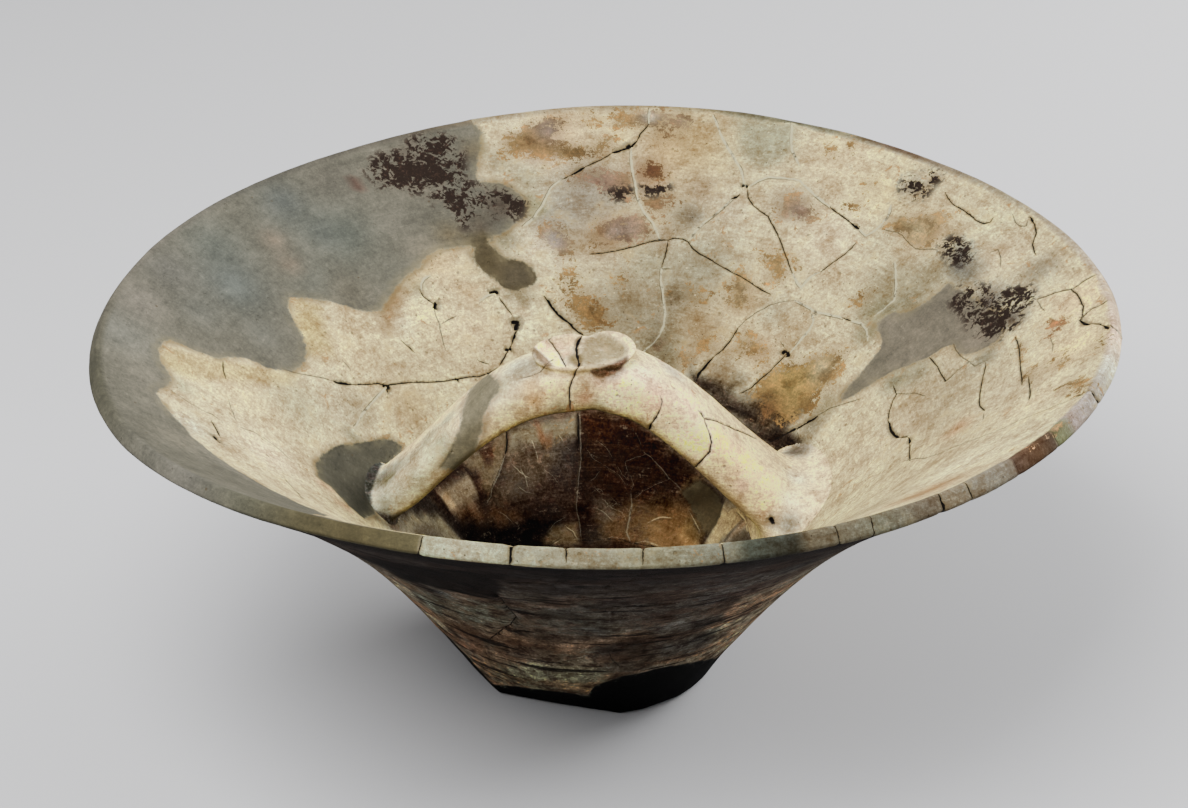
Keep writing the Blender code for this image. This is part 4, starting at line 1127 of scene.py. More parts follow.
# paint the old clay and the plaster, inside, outside and round the lip
run = read_attribute(wall.data, "run")
on_inside, on_lip, on_outside = run < -LIP_RUN, np.abs(run) <= LIP_RUN, run > LIP_RUN
colours = np.tile(pigment(INNER_COLOUR), (len(run), 1))
plaster = np.tile(pigment(PLASTER_COLOUR), (len(run), 1))
inside_places = wall_places[on_inside]
turned_to = towards_eye(wall_places, read(wall.data, "normal"))
inside_colours = dab_on(colours[on_inside], inside_places, wall_marks, dabs)
inside_colours = spots_on(inside_colours, inside_places, near_wall_spots)
colours[on_inside] = wash_on(inside_colours, inside_places, turned_to[on_inside], washes, under_lip=True)
inside_plaster = dab_on(plaster[on_inside], inside_places, wall_marks, plaster_dabs, PLASTER_DAB)
plaster[on_inside] = wash_on(inside_plaster, inside_places, turned_to[on_inside], plaster_washes)
outer_runs, outer_tones = [r for r, _ in OUTER_COLOURS], np.array([pigment(c) for _, c in OUTER_COLOURS])
colours[on_outside] = np.stack([np.interp(run[on_outside], outer_runs, tone) for tone in outer_tones.T], 1)
outside_places = wall_places[on_outside]
outside_colours = dab_on(colours[on_outside], outside_places, wall_marks, outer_dabs, OUTER_DAB)
outside_colours = spots_on(outside_colours, outside_places, far_side_spots)
colours[on_outside] = wash_on(outside_colours, outside_places, turned_to[on_outside], outer_washes)
plaster[on_outside] = colours[on_outside] * TONED
colours[on_lip] = plaster[on_lip] = round_the_lip(wall_places[on_lip])
foot_depth = foot_fill_depth(wall_places)
plaster[on_outside & (foot_depth > -FOOT_FILL_OVERLAP)] = pigment(FOOT_FILL_COLOUR)
coat = dab_on(np.tile(pigment(COAT_COLOUR), (len(run), 1)), wall_places, wall_marks, coat_dabs)
paint_on(wall.data, "paint", colours)
paint_on(wall.data, "plaster", plaster)
paint_on(wall.data, "coat", coat)

# mark where plaster, flakes and specks lie, and sink the plaster a little
grey_depth = patch(wall.data, wall_places, grey_fill, True)
fill_depth = np.maximum(grey_depth, patch(wall.data, wall_places, dark_fill, False))
fill_depth = np.where(on_outside, np.maximum(fill_depth, foot_depth), fill_depth)
fill_ends = [angle_of(wall_marks.under_pixel(*pixel)[0]) % math.tau for pixel in LIP_FILL_ENDS]
turn = np.arctan2(wall_places[:, 1], wall_places[:, 0] - LEAN) % math.tau
by_the_lip = (run > -LIP_FILL_REACH) & (run < LIP_RUN) & (turn > fill_ends[0]) & (turn < fill_ends[1])
fill_depth = np.where(by_the_lip, np.maximum(fill_depth, FAR_EDGE * MILLIMETRES), fill_depth)
write_attribute(wall.data, "fill", fill_depth)
write_attribute(wall.data, "flake", patch(wall.data, wall_places, flakes, False))
write_attribute(wall.data, "speck", patch(wall.data, wall_places, specks, False))
write_attribute(wall.data, "outer", np.interp(run / LIP_RUN, LIP_TO_OUTSIDE, (0, 1)))
wall_places -= read(wall.data, "normal") * (np.clip(fill_depth / FILL_SUNK_OVER, 0, 1) * FILL_SUNK)[:, None]
wall.data.vertices.foreach_set("co", wall_places.ravel())
wall.data.update()
wall.data.shade_smooth()


# Finish of the clay
# Matt fired clay under a worn cream slip, grey and olive plaster, ochre flakes of an old coat,
# black mineral specks, white filler and dark gaps in the joins, and grime in every hollow.
class Wire:
    """A socket in a material, with the sums that the finishes are written in."""

    def __init__(self, tree, socket=None):
        self.tree, self.socket = tree, socket

    def node(self, kind, settings=None, sockets=None, out=0):
        made = self.tree.nodes.new(kind)
        for name, value in (settings or {}).items():
            setattr(made, name, value)
        for name, value in (sockets or {}).items():
            if isinstance(value, Wire):
                self.tree.links.new(value.socket, made.inputs[name])
            else:
                made.inputs[name].default_value = value
        return Wire(self.tree, made.outputs[out])

    def sum(self, operation, first, second=0.0):
        return self.node("ShaderNodeMath", {"operation": operation}, {0: first, 1: second})

    def __add__(self, other):
        return self.sum("ADD", self, other)

    def __sub__(self, other):
        return self.sum("SUBTRACT", self, other)

    def __rsub__(self, other):
        return self.sum("SUBTRACT", other, self)

    def __mul__(self, other):
        return self.sum("MULTIPLY", self, other)

    def __truediv__(self, other):
        return self.sum("DIVIDE", self, other)

    def __abs__(self):
        return self.sum("ABSOLUTE", self)

    __radd__, __rmul__ = __add__, __mul__

    def most(self, other):
        return self.sum("MAXIMUM", self, other)

    def between(self, low, high):
        """0 below low, 1 above high, and smooth in between."""
        settings = {"interpolation_type": "SMOOTHSTEP"}
        return self.node("ShaderNodeMapRange", settings, {"Value": self, "From Min": low, "From Max": high})

    def attribute(self, name, colour=False):
        return self.node("ShaderNodeAttribute", {"attribute_name": name}, out="Color" if colour else "Fac")

    def grain(self, scale, detail=3.0, roughness=0.55, distortion=0.0):
        """Noise from 0 to 1 over the places that this wire holds."""
        sockets = {"Vector": self, "Scale": scale, "Detail": detail, "Roughness": roughness}
        return self.node("ShaderNodeTexNoise", None, {**sockets, "Distortion": distortion}, "Fac")

    def other(self, name):
        """Another output of the node that this wire comes from."""
        return Wire(self.tree, self.socket.node.outputs[name])

    def under(self, colour, mask=1.0):
        """A colour, (red, green, blue) or a wire, laid over this one where the mask is 1."""
        kind = {"data_type": "RGBA", "blend_type": "MIX"}
        colour = colour if isinstance(colour, Wire) else tint(colour)
        return self.node("ShaderNodeMix", kind, {0: mask, 6: self, 7: colour}, 2)

    def shade(self, amount, parts=(1.0, 1.0, 1.0)):
        """This colour made lighter where the amount is above 0, and darker below, each part its own share."""
        grey = self.node("ShaderNodeCombineXYZ", None, {0: amount, 1: amount, 2: amount})
        return self.vector("MULTIPLY", grey.vector("MULTIPLY_ADD", parts, (1.0, 1.0, 1.0)))

    def lit(self, amount, parts=(1.0, 1.0, 1.0)):
        """This colour with the amount added, to each part its own share."""
        grey = self.node("ShaderNodeCombineXYZ", None, {0: amount, 1: amount, 2: amount})
        return self.vector("ADD", grey.vector("MULTIPLY", parts))

    def stained(self, ratios, mask=1.0):
        """This colour with its parts multiplied where the mask is 1."""
        return self.under(self.vector("MULTIPLY", ratios), mask)

    def stretched(self, x, y, z):
        return self.node("ShaderNodeMapping", None, {"Vector": self, "Scale": (x, y, z)})

    def dots(self, scale, size, share):
        """1 in small round dots, one in a share of the cells."""
        cells = self.node("ShaderNodeTexVoronoi", None, {"Vector": self, "Scale": scale}, "Distance")
        chosen = cells.other("Color").between(1 - share, 1 - share + DOT_EDGE)
        return cells.between(size, size * DOT_CORE) * chosen

    def vector(self, operation, *others, **named):
        """A sum on all three parts of a colour at once."""
        sockets = {0: self, **{i + 1: other for i, other in enumerate(others)}, **named}
        return self.node("ShaderNodeVectorMath", {"operation": operation}, sockets)

    def gamma(self, power):
        return self.node("ShaderNodeGamma", None, {"Color": self, "Gamma": power})

    def developed(self, light_on):
        """This colour, mixed as it shows, as the share of light that the clay returns under the lamps."""
        shown = self.vector("MAXIMUM", (SHOWN_RANGE[0],) * 3).vector("MINIMUM", (SHOWN_RANGE[1],) * 3)
        light = shown.vector("MULTIPLY_ADD", (1 - FILM_FOG,) * 3, (FILM_FOG,) * 3).gamma(FILM_GAMMA)
        room = light.vector("MULTIPLY", (-1.0, -1.0, -1.0)).vector("MULTIPLY_ADD", light, (1.0, 1.0, 1.0))
        light = light.vector("DIVIDE", room.gamma(FILM_SHOULDER))
        grey = light.vector("DOT_PRODUCT", (1 / 3, 1 / 3, 1 / 3)).other("Value")
        kind = {"data_type": "RGBA", "clamp_factor": False}
        vivid = self.node("ShaderNodeMix", kind, {0: grey * FILM_FADE + 1.0, 6: grey, 7: light}, 2)
        paint = vivid.vector("DIVIDE", light_on).vector("MINIMUM", (CLAY_RANGE[1],) * 3)
        return paint.vector("MAXIMUM", (CLAY_RANGE[0],) * 3)


WALL_LIGHT = (2.80, 2.42, 2.32)  # how much light falls on the wall, redder for its own bounces
FILM_FOG, FILM_GAMMA = 0.052, 2.4  # how light the picture shows black, and how it spreads the rest
FILM_SHOULDER, FILM_FADE = 1.5, 0.33  # how the picture dims and fades bright colours
SHOWN_RANGE, CLAY_RANGE = (0.01, 0.93), (0.0015, 0.86)  # darkest and palest, as shown and as the clay's own
DOT_CORE, DOT_EDGE = 0.6, 0.02
AGED = (0.66, 1.0, 1.40)  # old clay goes browner where it is darker, and whiter where it is lighter


def tint(colour):
    return (*pigment(colour), 1)


def clay_finish(name, light_on):
    made = bpy.data.materials.new(name)
    made.use_nodes = True
    tree = made.node_tree
    shader = tree.nodes["Principled BSDF"]
    wires = Wire(tree)
    places = wires.node("ShaderNodeTexCoord", out="Object")
    paint, plaster = wires.attribute("paint", colour=True), wires.attribute("plaster", colour=True)
    fill, flake, speck = wires.attribute("fill"), wires.attribute("flake"), wires.attribute("speck")
    outer = wires.attribute("outer")

    broad = places.grain(16, 3)
    middling = places.grain(55, 5, 0.62)
    blotch = places.grain(135, 6, 0.66)
    ragged = places.grain(300, 8, 0.76)
    fine = places.grain(760, 5, 0.80)
    turned = places.stretched(22, 22, 420).grain(1, 6, 0.7)
    scrapes = places.stretched(70, 70, 1000).grain(1, 7, 0.78)
    lip = 1 - abs(wires.attribute("run")).between(LIP_RUN * 0.9, LIP_RUN * 1.3)
    pale = paint.between(0.25, 0.60) * (1 - outer)
    cloud = (middling - 0.5) * 0.34 + (blotch - 0.5) * 0.42 + (ragged - 0.5) * 0.55 + (fine - 0.5) * 0.62
    streak = (turned - 0.5) * 0.30 + (scrapes - 0.5) * 0.45

    # worn slip over the clay: stained, scraped and pitted
    clay = paint.shade((broad - 0.5) * 0.22 + (middling - 0.5) * 0.20 + cloud * 1.25 + streak * 0.75, AGED)
    glints = (cloud + streak * 0.7 - 0.03) * (1 - pale) * (1 - lip * 0.7) * (1 - outer)
    clay = clay.lit(glints * 0.80, (1.0, 0.94, 0.90))
    tanned = (middling * 0.5 + blotch * 0.5).between(0.52, 0.64)
    soiled = (blotch * 0.3 + ragged * 0.7).between(0.56, 0.66)
    rubbed_white = (scrapes * 0.5 + ragged * 0.5).between(0.54, 0.62)
    scuffed = (scrapes * 0.5 + blotch * 0.2 + ragged * 0.3).between(0.56, 0.62)
    pits = places.dots(330, 0.30, 0.20)
    clay = clay.under((176, 150, 102), tanned * pale * 0.42)
    clay = clay.under((150, 132, 106), soiled * pale * 0.50)
    clay = clay.under((226, 218, 192), rubbed_white * pale * 0.50)
    clay = clay.under((118, 92, 64), scuffed * pale * 0.50)
    clay = clay.under((124, 98, 64), pits * pale * 0.40)
    chips = places.grain(150, 8, 0.72, 0.8).between(0.60, 0.615) * broad.between(0.46, 0.56)
    clay = clay.under((172, 132, 86), chips * pale * 0.65)
    clay = clay.under((70, 52, 38), places.dots(620, 0.26, 0.18) * 0.70)
    clay = clay.under((228, 222, 200), places.dots(480, 0.28, 0.10) * pale * 0.50)
    # Where the paint inside is dark: soot and dark stains, partly the painted shade under the strap.
    soot_and_shade = (1 - pale) * (1 - outer) * (1 - lip)
    reddened = (blotch * 0.5 + ragged * 0.5).between(0.50, 0.58)
    charred = (middling * 0.4 + blotch * 0.3 + ragged * 0.3).between(0.50, 0.56)
    dusted = (scrapes * 0.4 + ragged * 0.6).between(0.54, 0.62)
    scraped_bare = (scrapes * 0.3 + fine * 0.3 + blotch * 0.4).between(0.56, 0.60)
    clay = clay.stained((1.22, 1.06, 1.0), reddened * soot_and_shade * 0.80)
    clay = clay.stained((0.45, 0.40, 0.38), charred * soot_and_shade * 0.8)
    clay = clay.under((128, 112, 94), dusted * soot_and_shade * 0.42)
    clay = clay.under((176, 158, 132), scraped_bare * soot_and_shade * 0.5)

    # the smoked and weathered outside, wiped round
    wiped = places.stretched(26, 26, 130).grain(1, 8, 0.72)
    rusty = places.stretched(24, 24, 56).grain(1, 6, 0.66, 0.4)
    lines = places.stretched(26, 26, 360).grain(1, 5, 0.60)
    weathered = clay.stained((0.97, 0.84, 0.77), (rusty * 0.65 + ragged * 0.35).between(0.49, 0.54) * 0.70)
    ashen = (wiped * 0.4 + blotch * 0.3 + ragged * 0.3).between(0.49, 0.54)
    weathered = weathered.stained((1.13, 1.15, 1.16), ashen * 0.90)
    weathered = weathered.stained((0.70, 0.62, 0.60), (wiped * 0.3 + blotch * 0.7).between(0.47, 0.41) * 0.85)
    weathered = weathered.stained((0.30, 0.25, 0.24), lines.between(0.58, 0.605) * 0.85)
    scored = (scrapes * 0.4 + fine * 0.6).between(0.545, 0.585)
    weathered = weathered.stained((1.22, 1.25, 1.28), scored * 0.60)
    weathered = weathered.shade(cloud * 0.85, (0.94, 1.0, 1.06))
    clay = clay.under(weathered, outer)

    # what is left of an ochre coat
    worn = (blotch - 0.5) * 1.8 + (ragged - 0.5) * 2.2 + (fine - 0.5) * 2.0 + (scrapes - 0.5) * 1.1
    flake_mask = (flake * 0.060 + worn * 0.75 - 0.05).between(0.0, 0.10)
    tone = places.grain(75, 6, 0.7)
    ochre = wires.attribute("coat", colour=True).stained((0.97, 1.03, 1.16))
    ochre = ochre.stained((0.72, 0.66, 0.62), tone.between(0.50, 0.60) * 0.8)
    ochre = ochre.stained((1.18, 1.22, 1.25), tone.between(0.46, 0.38) * 0.7)
    ochre = ochre.shade(cloud * 1.5 + streak * 0.9)
    rim = flake_mask.between(0.10, 0.50) * (1 - flake_mask.between(0.50, 1.0))
    clay = clay.under(ochre, flake_mask * 0.94).under((92, 68, 48), rim * 0.45)

    # plaster, brushed on and washed brown where it meets the clay
    fill_edge = fill + (places.grain(60, 6, 0.6) - 0.5) * 4.0 + (ragged - 0.5) * 5.0 + (fine - 0.5) * 3.0
    fill_mask = fill_edge.between(-0.9, 0.8)
    halo = fill_edge.between(-4, 0) * (1 - fill_mask) * (1 - outer)
    halo = halo * (broad * 0.5 + blotch * 0.5).between(0.44, 0.56)
    clay = clay.under((140, 114, 78), halo * (0.30 + ragged * 0.8))
    mixed = (broad - 0.5) * 0.34 + (middling - 0.5) * 0.16 + cloud * 0.85 + streak * 0.6
    brushed = plaster.stained((0.83, 0.79, 0.775), 1 - outer).shade(mixed)
    rubbed = fill_edge.between(6, 0.3) * (blotch * 0.5 + broad * 0.5).between(0.42, 0.62)
    brushed = brushed.under((150, 134, 104), rubbed * 0.5 * (1 - outer))
    brush_marks = (scrapes * 0.5 + ragged * 0.5).between(0.57, 0.68)
    brushed = brushed.under((172, 168, 150), brush_marks * 0.30 * (1 - outer))
    brushed = brushed.under((92, 74, 54), places.dots(300, 0.24, 0.10) * 0.6)
    flecks = (ragged * 0.5 + fine * 0.5).between(0.565, 0.60) * outer * fill_edge.between(9, 1)
    brushed = brushed.under((190, 184, 164), flecks * 0.8)
    clay = clay.under(brushed, fill_mask)

    # black specks
    clots = places.grain(290, 8, 0.68, 0.9)
    patchy = places.grain(105, 6, 0.65)
    reach = speck.between(-5, 2)
    clotted = speck * 0.040 + (clots - 0.5) * 4.6 + (patchy - 0.5) * 3.2
    speck_mask = (clotted - 0.02).between(0.0, 0.14) * reach
    clay = clay.under((118, 100, 86), reach * patchy.between(0.42, 0.56) * 0.35)
    clay = clay.under((46, 33, 27), speck_mask * 0.95)
    clay = clay.under((98, 70, 58), speck_mask * (ragged * 0.5 + fine * 0.5).between(0.52, 0.60) * 0.6)

    # joins
    crumbled = (places.grain(420, 4, 0.6) - 0.5) * 0.9 + (places.grain(1400, 4, 0.7) - 0.5) * 0.5
    signed = wires.attribute("across") + crumbled
    near, half_width = wires.attribute("near"), wires.attribute("half_width")
    dark, white = wires.attribute("dark"), wires.attribute("white")
    off = abs(signed).most(near - 0.40)
    widened = 0.60 + places.grain(210, 5, 0.7).between(0.32, 0.68) * 0.75
    ratio = off / (half_width * (0.42 + pale * 0.58) * widened)
    within = 1 - ratio.between(0.60, 1.25)
    broken = places.grain(170, 6, 0.7).between(0.32, 0.46)
    dust = 1 - ratio.between(1.0, 4.0)
    beside = 1 - abs(signed - 0.80).most(near - 1.2).between(0.10, 0.34)
    clay = clay.under((204, 194, 164), dust * white * pale * 0.35)
    clay = clay.under((120, 96, 64), dust * dark * pale * 0.50)
    # A dark strip along one side of each white join: painted shade beside the raised filler.
    clay = clay.under((84, 66, 48), beside * white * places.grain(95, 4).between(0.44, 0.58) * 0.70)
    clay = clay.under((220, 213, 190), within * white * broken * (0.42 + pale * 0.44))
    clay = clay.under((92, 72, 52), within * white * (1 - broken) * 0.7)
    clay = clay.under((26, 20, 16), within * dark)
    clay = clay.developed(light_on)

    tree.links.new(clay.socket, shader.inputs["Base Color"])
    roughness = 0.74 + fine * 0.20
    tree.links.new(roughness.socket, shader.inputs["Roughness"])
    shader.inputs["Specular IOR Level"].default_value = 0.03
    relief = (fine * 0.5 + ragged * 0.8 + middling * 0.5 + scrapes * 0.35) * (1 - fill.between(-1, 1) * 0.6)
    height = relief - pits * 0.4
    bump = wires.node("ShaderNodeBump", None, {"Strength": 0.9, "Distance": 0.0010, "Height": height})
    tree.links.new(bump.socket, shader.inputs["Normal"])
    return made


wall.data.materials.append(clay_finish("worn_clay", WALL_LIGHT))
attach(wall, "root")
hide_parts("bowl")


# Strap with its thread dish
# One clay strap bridges the bowl. Its roots were smeared into the wall, and a small dish for the
# thread was pinched up on its crown. It broke in five, and one band of its left leg is plaster.
LEFT, RIGHT = -1, 1
ARCH_HEIGHT = 0.1358
ARCH_CROWN_X = -0.0100
ARCH_SLOPE = {LEFT: 1.25, RIGHT: 1.165}
ARCH_POWER = 2.5
ARCH_ROUND = {LEFT: 0.053, RIGHT: 0.040}
CROWN_WIDTH = 0.037
CROWN_THICKNESS = 0.0170
CROWN_SWELL = 0.0080
CROWN_SWELL_REACH = {LEFT: 0.070, RIGHT: 0.072}
CROWN_Y = 0.0015
STRAP_SQUARENESS = 0.6
LEG_WIDTH = {LEFT: 0.041, RIGHT: 0.056}
LEG_THICKNESS = {LEFT: 0.0170, RIGHT: 0.0228}
LEG_Y = {LEFT: 0.0050, RIGHT: 0.0085}
ROOT_WIDTH = {LEFT: 0.0385, RIGHT: 0.060}
ROOT_HEIGHT = {LEFT: 0.0155, RIGHT: 0.0260}
ROOT_FLARE = {LEFT: 0.014, RIGHT: 0.036}
DISH_LENGTH, DISH_WIDTH = 0.0480, 0.0345
DISH_STEM_LENGTH, DISH_STEM_WIDTH = 0.0360, 0.0300
DISH_RISE = 0.0115
DISH_LIP = 0.0024
DISH_HOLLOW = 0.0105
DISH_FRONT_DIP = 0.0030
DISH_NOTCH, DISH_NOTCH_LENGTH = 0.0026, 0.0053
DISH_X = -0.0088
DISH_ROOT = 0.0100
UNDERCUT_TURN, UNDERCUT_SPREAD = math.radians(-38), math.radians(26)
FLARE_FULL, FLARE_CUT = 1.0, 5.0
LIP_TURNS = np.radians(np.linspace(-45, 135, 10))
SECTION_STEPS = 96
LEG_STEPS = 120
DISH_STEPS = 128
STEM_STEPS = 10
HOLLOW_STEPS = 14
STRAP_GRAIN = 0.00075
STRAP_SMOOTHING = 2

inside_points = np.array([p[:] for p in inside_curve(outside_curve())])


def inner_radius(height):
    return np.interp(height, inside_points[:, 1], inside_points[:, 0])


def along_leg(crown, leg, share):
    """A size that goes from its value at the crown to its value down the leg."""
    return crown + (leg - crown) * share**2 * (3 - 2 * share)


def strap_thickness(side, along, share):
    near = max(0, 1 - (along / CROWN_SWELL_REACH[side]) ** 2)
    return along_leg(CROWN_THICKNESS, LEG_THICKNESS[side], share) + CROWN_SWELL * near**2


def arch_point(side, along, share):
    """Middle of the strap, along metres from the crown towards one side, and the way up across it."""
    turn = ARCH_ROUND[side] ** ARCH_POWER
    fall = (turn + (ARCH_SLOPE[side] * along) ** ARCH_POWER) ** (1 / ARCH_POWER)
    slope = ARCH_SLOPE[side] ** ARCH_POWER * (along / fall) ** (ARCH_POWER - 1)
    middle_y = along_leg(CROWN_Y, LEG_Y[side], share)
    under = Vector((ARCH_CROWN_X + side * along, middle_y, ARCH_HEIGHT + ARCH_ROUND[side] - fall))
    across = Vector((side * slope, 0, 1)).normalized()
    return under + across * strap_thickness(side, along, share) / 2, across


def arch_reach(side):
    """How far from the crown the strap's middle meets the inside of the wall."""
    near, far = 0.0, rim_radius
    while far - near > AXIS_MERGE:
        along = (near + far) / 2
        point, _ = arch_point(side, along, 1)
        if math.hypot(point.x, point.y) < inner_radius(point.z):
            near = along
        else:
            far = along
    return near


section_turns = np.linspace(0, math.tau, SECTION_STEPS, endpoint=False)


def oval(width, height, flatness):
    """A rounded oblong as the points' places aside and over."""
    aside = np.sign(np.cos(section_turns)) * np.abs(np.cos(section_turns)) ** flatness
    over = np.sign(np.sin(section_turns)) * np.abs(np.sin(section_turns)) ** flatness
    return aside * width / 2, over * height / 2


def strap_section(side, along, share):
    """A rounded oblong ring square across the strap."""
    middle, across = arch_point(side, along, share)
    width = along_leg(CROWN_WIDTH, LEG_WIDTH[side], share)
    aside, over = oval(width, strap_thickness(side, along, share), STRAP_SQUARENESS)
    return np.array(middle) + np.outer(over, across) + np.outer(aside, (0, 1, 0))


def root_section(side, reach):
    """The strap's end spread on the wall, as an oval sunk halfway into it."""
    middle, _ = arch_point(side, reach, 1)
    aside, over = oval(ROOT_WIDTH[side], ROOT_HEIGHT[side], 1)
    y, z = middle.y + aside, middle.z + over
    sunk = (WALL_AT_RIM + WALL_AT_FOOT) / 4
    outwards = np.sqrt(np.maximum((inner_radius(z) + sunk) ** 2 - y**2, 0))
    return np.stack([side * outwards, y, z], 1)


def strap_leg(side):
    """The rings of one leg, crown to wall."""
    reach = arch_reach(side)
    root = root_section(side, reach)
    flare_from = 1 - ROOT_FLARE[side] / reach
    rings = []
    for share in np.linspace(0, 1, LEG_STEPS + 1):
        spread = max(0, (share - flare_from) / (1 - flare_from)) ** 2
        rings.append(strap_section(side, reach * share, share) * (1 - spread) + root * spread)
    return rings


def dish_rings():
    """The dish's rings, from its root in the strap, up its flare, over the lip and down the hollow."""
    turns = np.linspace(0, math.tau, DISH_STEPS, endpoint=False)
    away = (turns - UNDERCUT_TURN + math.pi) % math.tau - math.pi
    cut = np.exp(-((away / UNDERCUT_SPREAD) ** 2))
    flare = FLARE_FULL + (FLARE_CUT - FLARE_FULL) * cut
    bead = DISH_LIP / 2
    start = bead * (1 - math.cos(LIP_TURNS[0]))
    lip_foot = DISH_RISE - bead * (1 - math.sin(LIP_TURNS[0]))
    levels = []
    for share in np.linspace(-DISH_ROOT / lip_foot, 1, STEM_STEPS, endpoint=False):
        out = np.clip(share, 0, 1) ** flare
        half_length = DISH_STEM_LENGTH / 2 + (DISH_LENGTH / 2 - start - DISH_STEM_LENGTH / 2) * out
        half_width = DISH_STEM_WIDTH / 2 + (DISH_WIDTH / 2 - start - DISH_STEM_WIDTH / 2) * out
        levels.append((half_length, half_width, share * lip_foot))
    for turn in LIP_TURNS:
        inset = bead * (1 - math.cos(turn))
        height = DISH_RISE - bead * (1 - math.sin(turn))
        levels.append((DISH_LENGTH / 2 - inset, DISH_WIDTH / 2 - inset, height))
    edge_length, edge_width, edge_height = levels[-1]
    for share in np.linspace(1, 0, HOLLOW_STEPS)[1:-1]:
        levels.append((edge_length * share, edge_width * share, edge_height - DISH_HOLLOW * (1 - share**2)))
    rings = []
    for half_length, half_width, height in levels:
        x, y = half_length * np.cos(turns), half_width * np.sin(turns)
        dip = DISH_FRONT_DIP * np.maximum(0, -y) * 2 / DISH_WIDTH
        notch = DISH_NOTCH * np.exp(-((x / DISH_NOTCH_LENGTH) ** 2)) * np.maximum(0, y) * 2 / DISH_WIDTH
        z = height - (dip + notch) * max(height, 0) / DISH_RISE
        seat = ARCH_HEIGHT + CROWN_THICKNESS
        rings.append(np.stack([DISH_X + x, CROWN_Y + y, seat + z], 1))
    return rings


def lofted(name, rings):
    """A closed skin over rings of as many points each, bent up from a grid."""
    rings = np.array(rings)
    closed = np.concatenate([rings, rings[:, :1]], 1)
    deselect_all()
    bpy.ops.mesh.primitive_grid_add(x_subdivisions=rings.shape[1], y_subdivisions=rings.shape[0] - 1)
    made = bpy.context.object
    made.name = made.data.name = name
    made.data.vertices.foreach_set("co", settled(closed.reshape(-1, 3)).ravel())
    bpy.ops.object.mode_set(mode="EDIT")
    bpy.ops.mesh.select_all(action="SELECT")
    bpy.ops.mesh.remove_doubles(threshold=AXIS_MERGE)
    bpy.ops.mesh.select_mode(type="EDGE")
    bpy.ops.mesh.select_all(action="DESELECT")
    bpy.ops.mesh.select_non_manifold()
    bpy.ops.mesh.fill_holes(sides=0)
    bpy.ops.mesh.select_all(action="SELECT")
    bpy.ops.mesh.normals_make_consistent(inside=False)
    bpy.ops.object.mode_set(mode="OBJECT")
    return made


dish = lofted("dish", dish_rings())
strap = lofted("strap", strap_leg(LEFT)[::-1] + strap_leg(RIGHT)[1:])
dish.select_set(True)
bpy.ops.object.join()
remesh = strap.modifiers.new("one_skin", "REMESH")
remesh.mode = "VOXEL"
remesh.voxel_size = STRAP_GRAIN
bpy.ops.object.modifier_apply(modifier=remesh.name)
smooth = strap.modifiers.new("wiped", "SMOOTH")
smooth.iterations = STRAP_SMOOTHING
bpy.ops.object.modifier_apply(modifier=smooth.name)

FILLET_REACH = {LEFT: 0.004, RIGHT: 0.016}
FILLET_ROUNDNESS = 0.97


def smeared(mesh):
    """Spreads the strap's ends over the wall, so that each runs into it in a round hollow."""
    places, normals = read(mesh, "co"), read(mesh, "normal")
    for i, (place, normal) in enumerate(zip(places, normals)):
        reach = FILLET_REACH[RIGHT if place[0] > 0 else LEFT]
        foot, wall_normal, _, _ = wall_marks.surface.find_nearest(Vector(place), reach)
        if foot is None:
            continue
        above = (Vector(place) - foot).dot(wall_normal)
        aside = Vector(normal) - wall_normal * Vector(normal).dot(wall_normal)
        share = 1 - min(max(above / reach, 0), 1)
        places[i] += np.array(aside) * reach * (1 - math.sqrt(1 - share**2 * FILLET_ROUNDNESS))
    mesh.vertices.foreach_set("co", places.ravel())
    mesh.update()


smeared(strap.data)

strap_breaks = {
    "gap": [
        [(583, 334), (579, 341), (576, 347), (577, 355), (579, 362), (578, 367)],
        [(652, 424), (649, 430)],
        [(699, 411), (702, 414), (704, 418)],
        [(549, 362), (552, 360)],
    ],
    "line": [
        [(578, 367), (575, 374), (572, 381), (570, 388), (570, 396), (570, 410)],
        [(547, 337), (553, 344), (558, 351), (562, 359), (566, 367)],
        [(661, 409), (658, 415), (652, 424)],
        [(704, 418), (709, 430), (712, 443), (710, 452), (702, 461), (695, 468)],
        [(704, 418), (717, 421), (735, 429), (756, 438)],
    ],
    "hair": [
        [(520, 378), (530, 376), (540, 372), (549, 362)],
        [(660, 395), (662, 402), (661, 409)],
        [(386, 473), (387, 477)],
        [(640, 352), (650, 356)],
    ],
    "pit": [
        [(771, 521), (772, 522)],
    ],
}
strap_marks = Marks(strap.data)
for kind, lines in strap_breaks.items():
    for pixels in lines:
        strap_marks.lay(kind, strap_marks.traced(pixels))
strap_marks.gathered()
STRAP_REACHES = (0.0014,)
refine_near(strap, strap_marks, STRAP_REACHES)

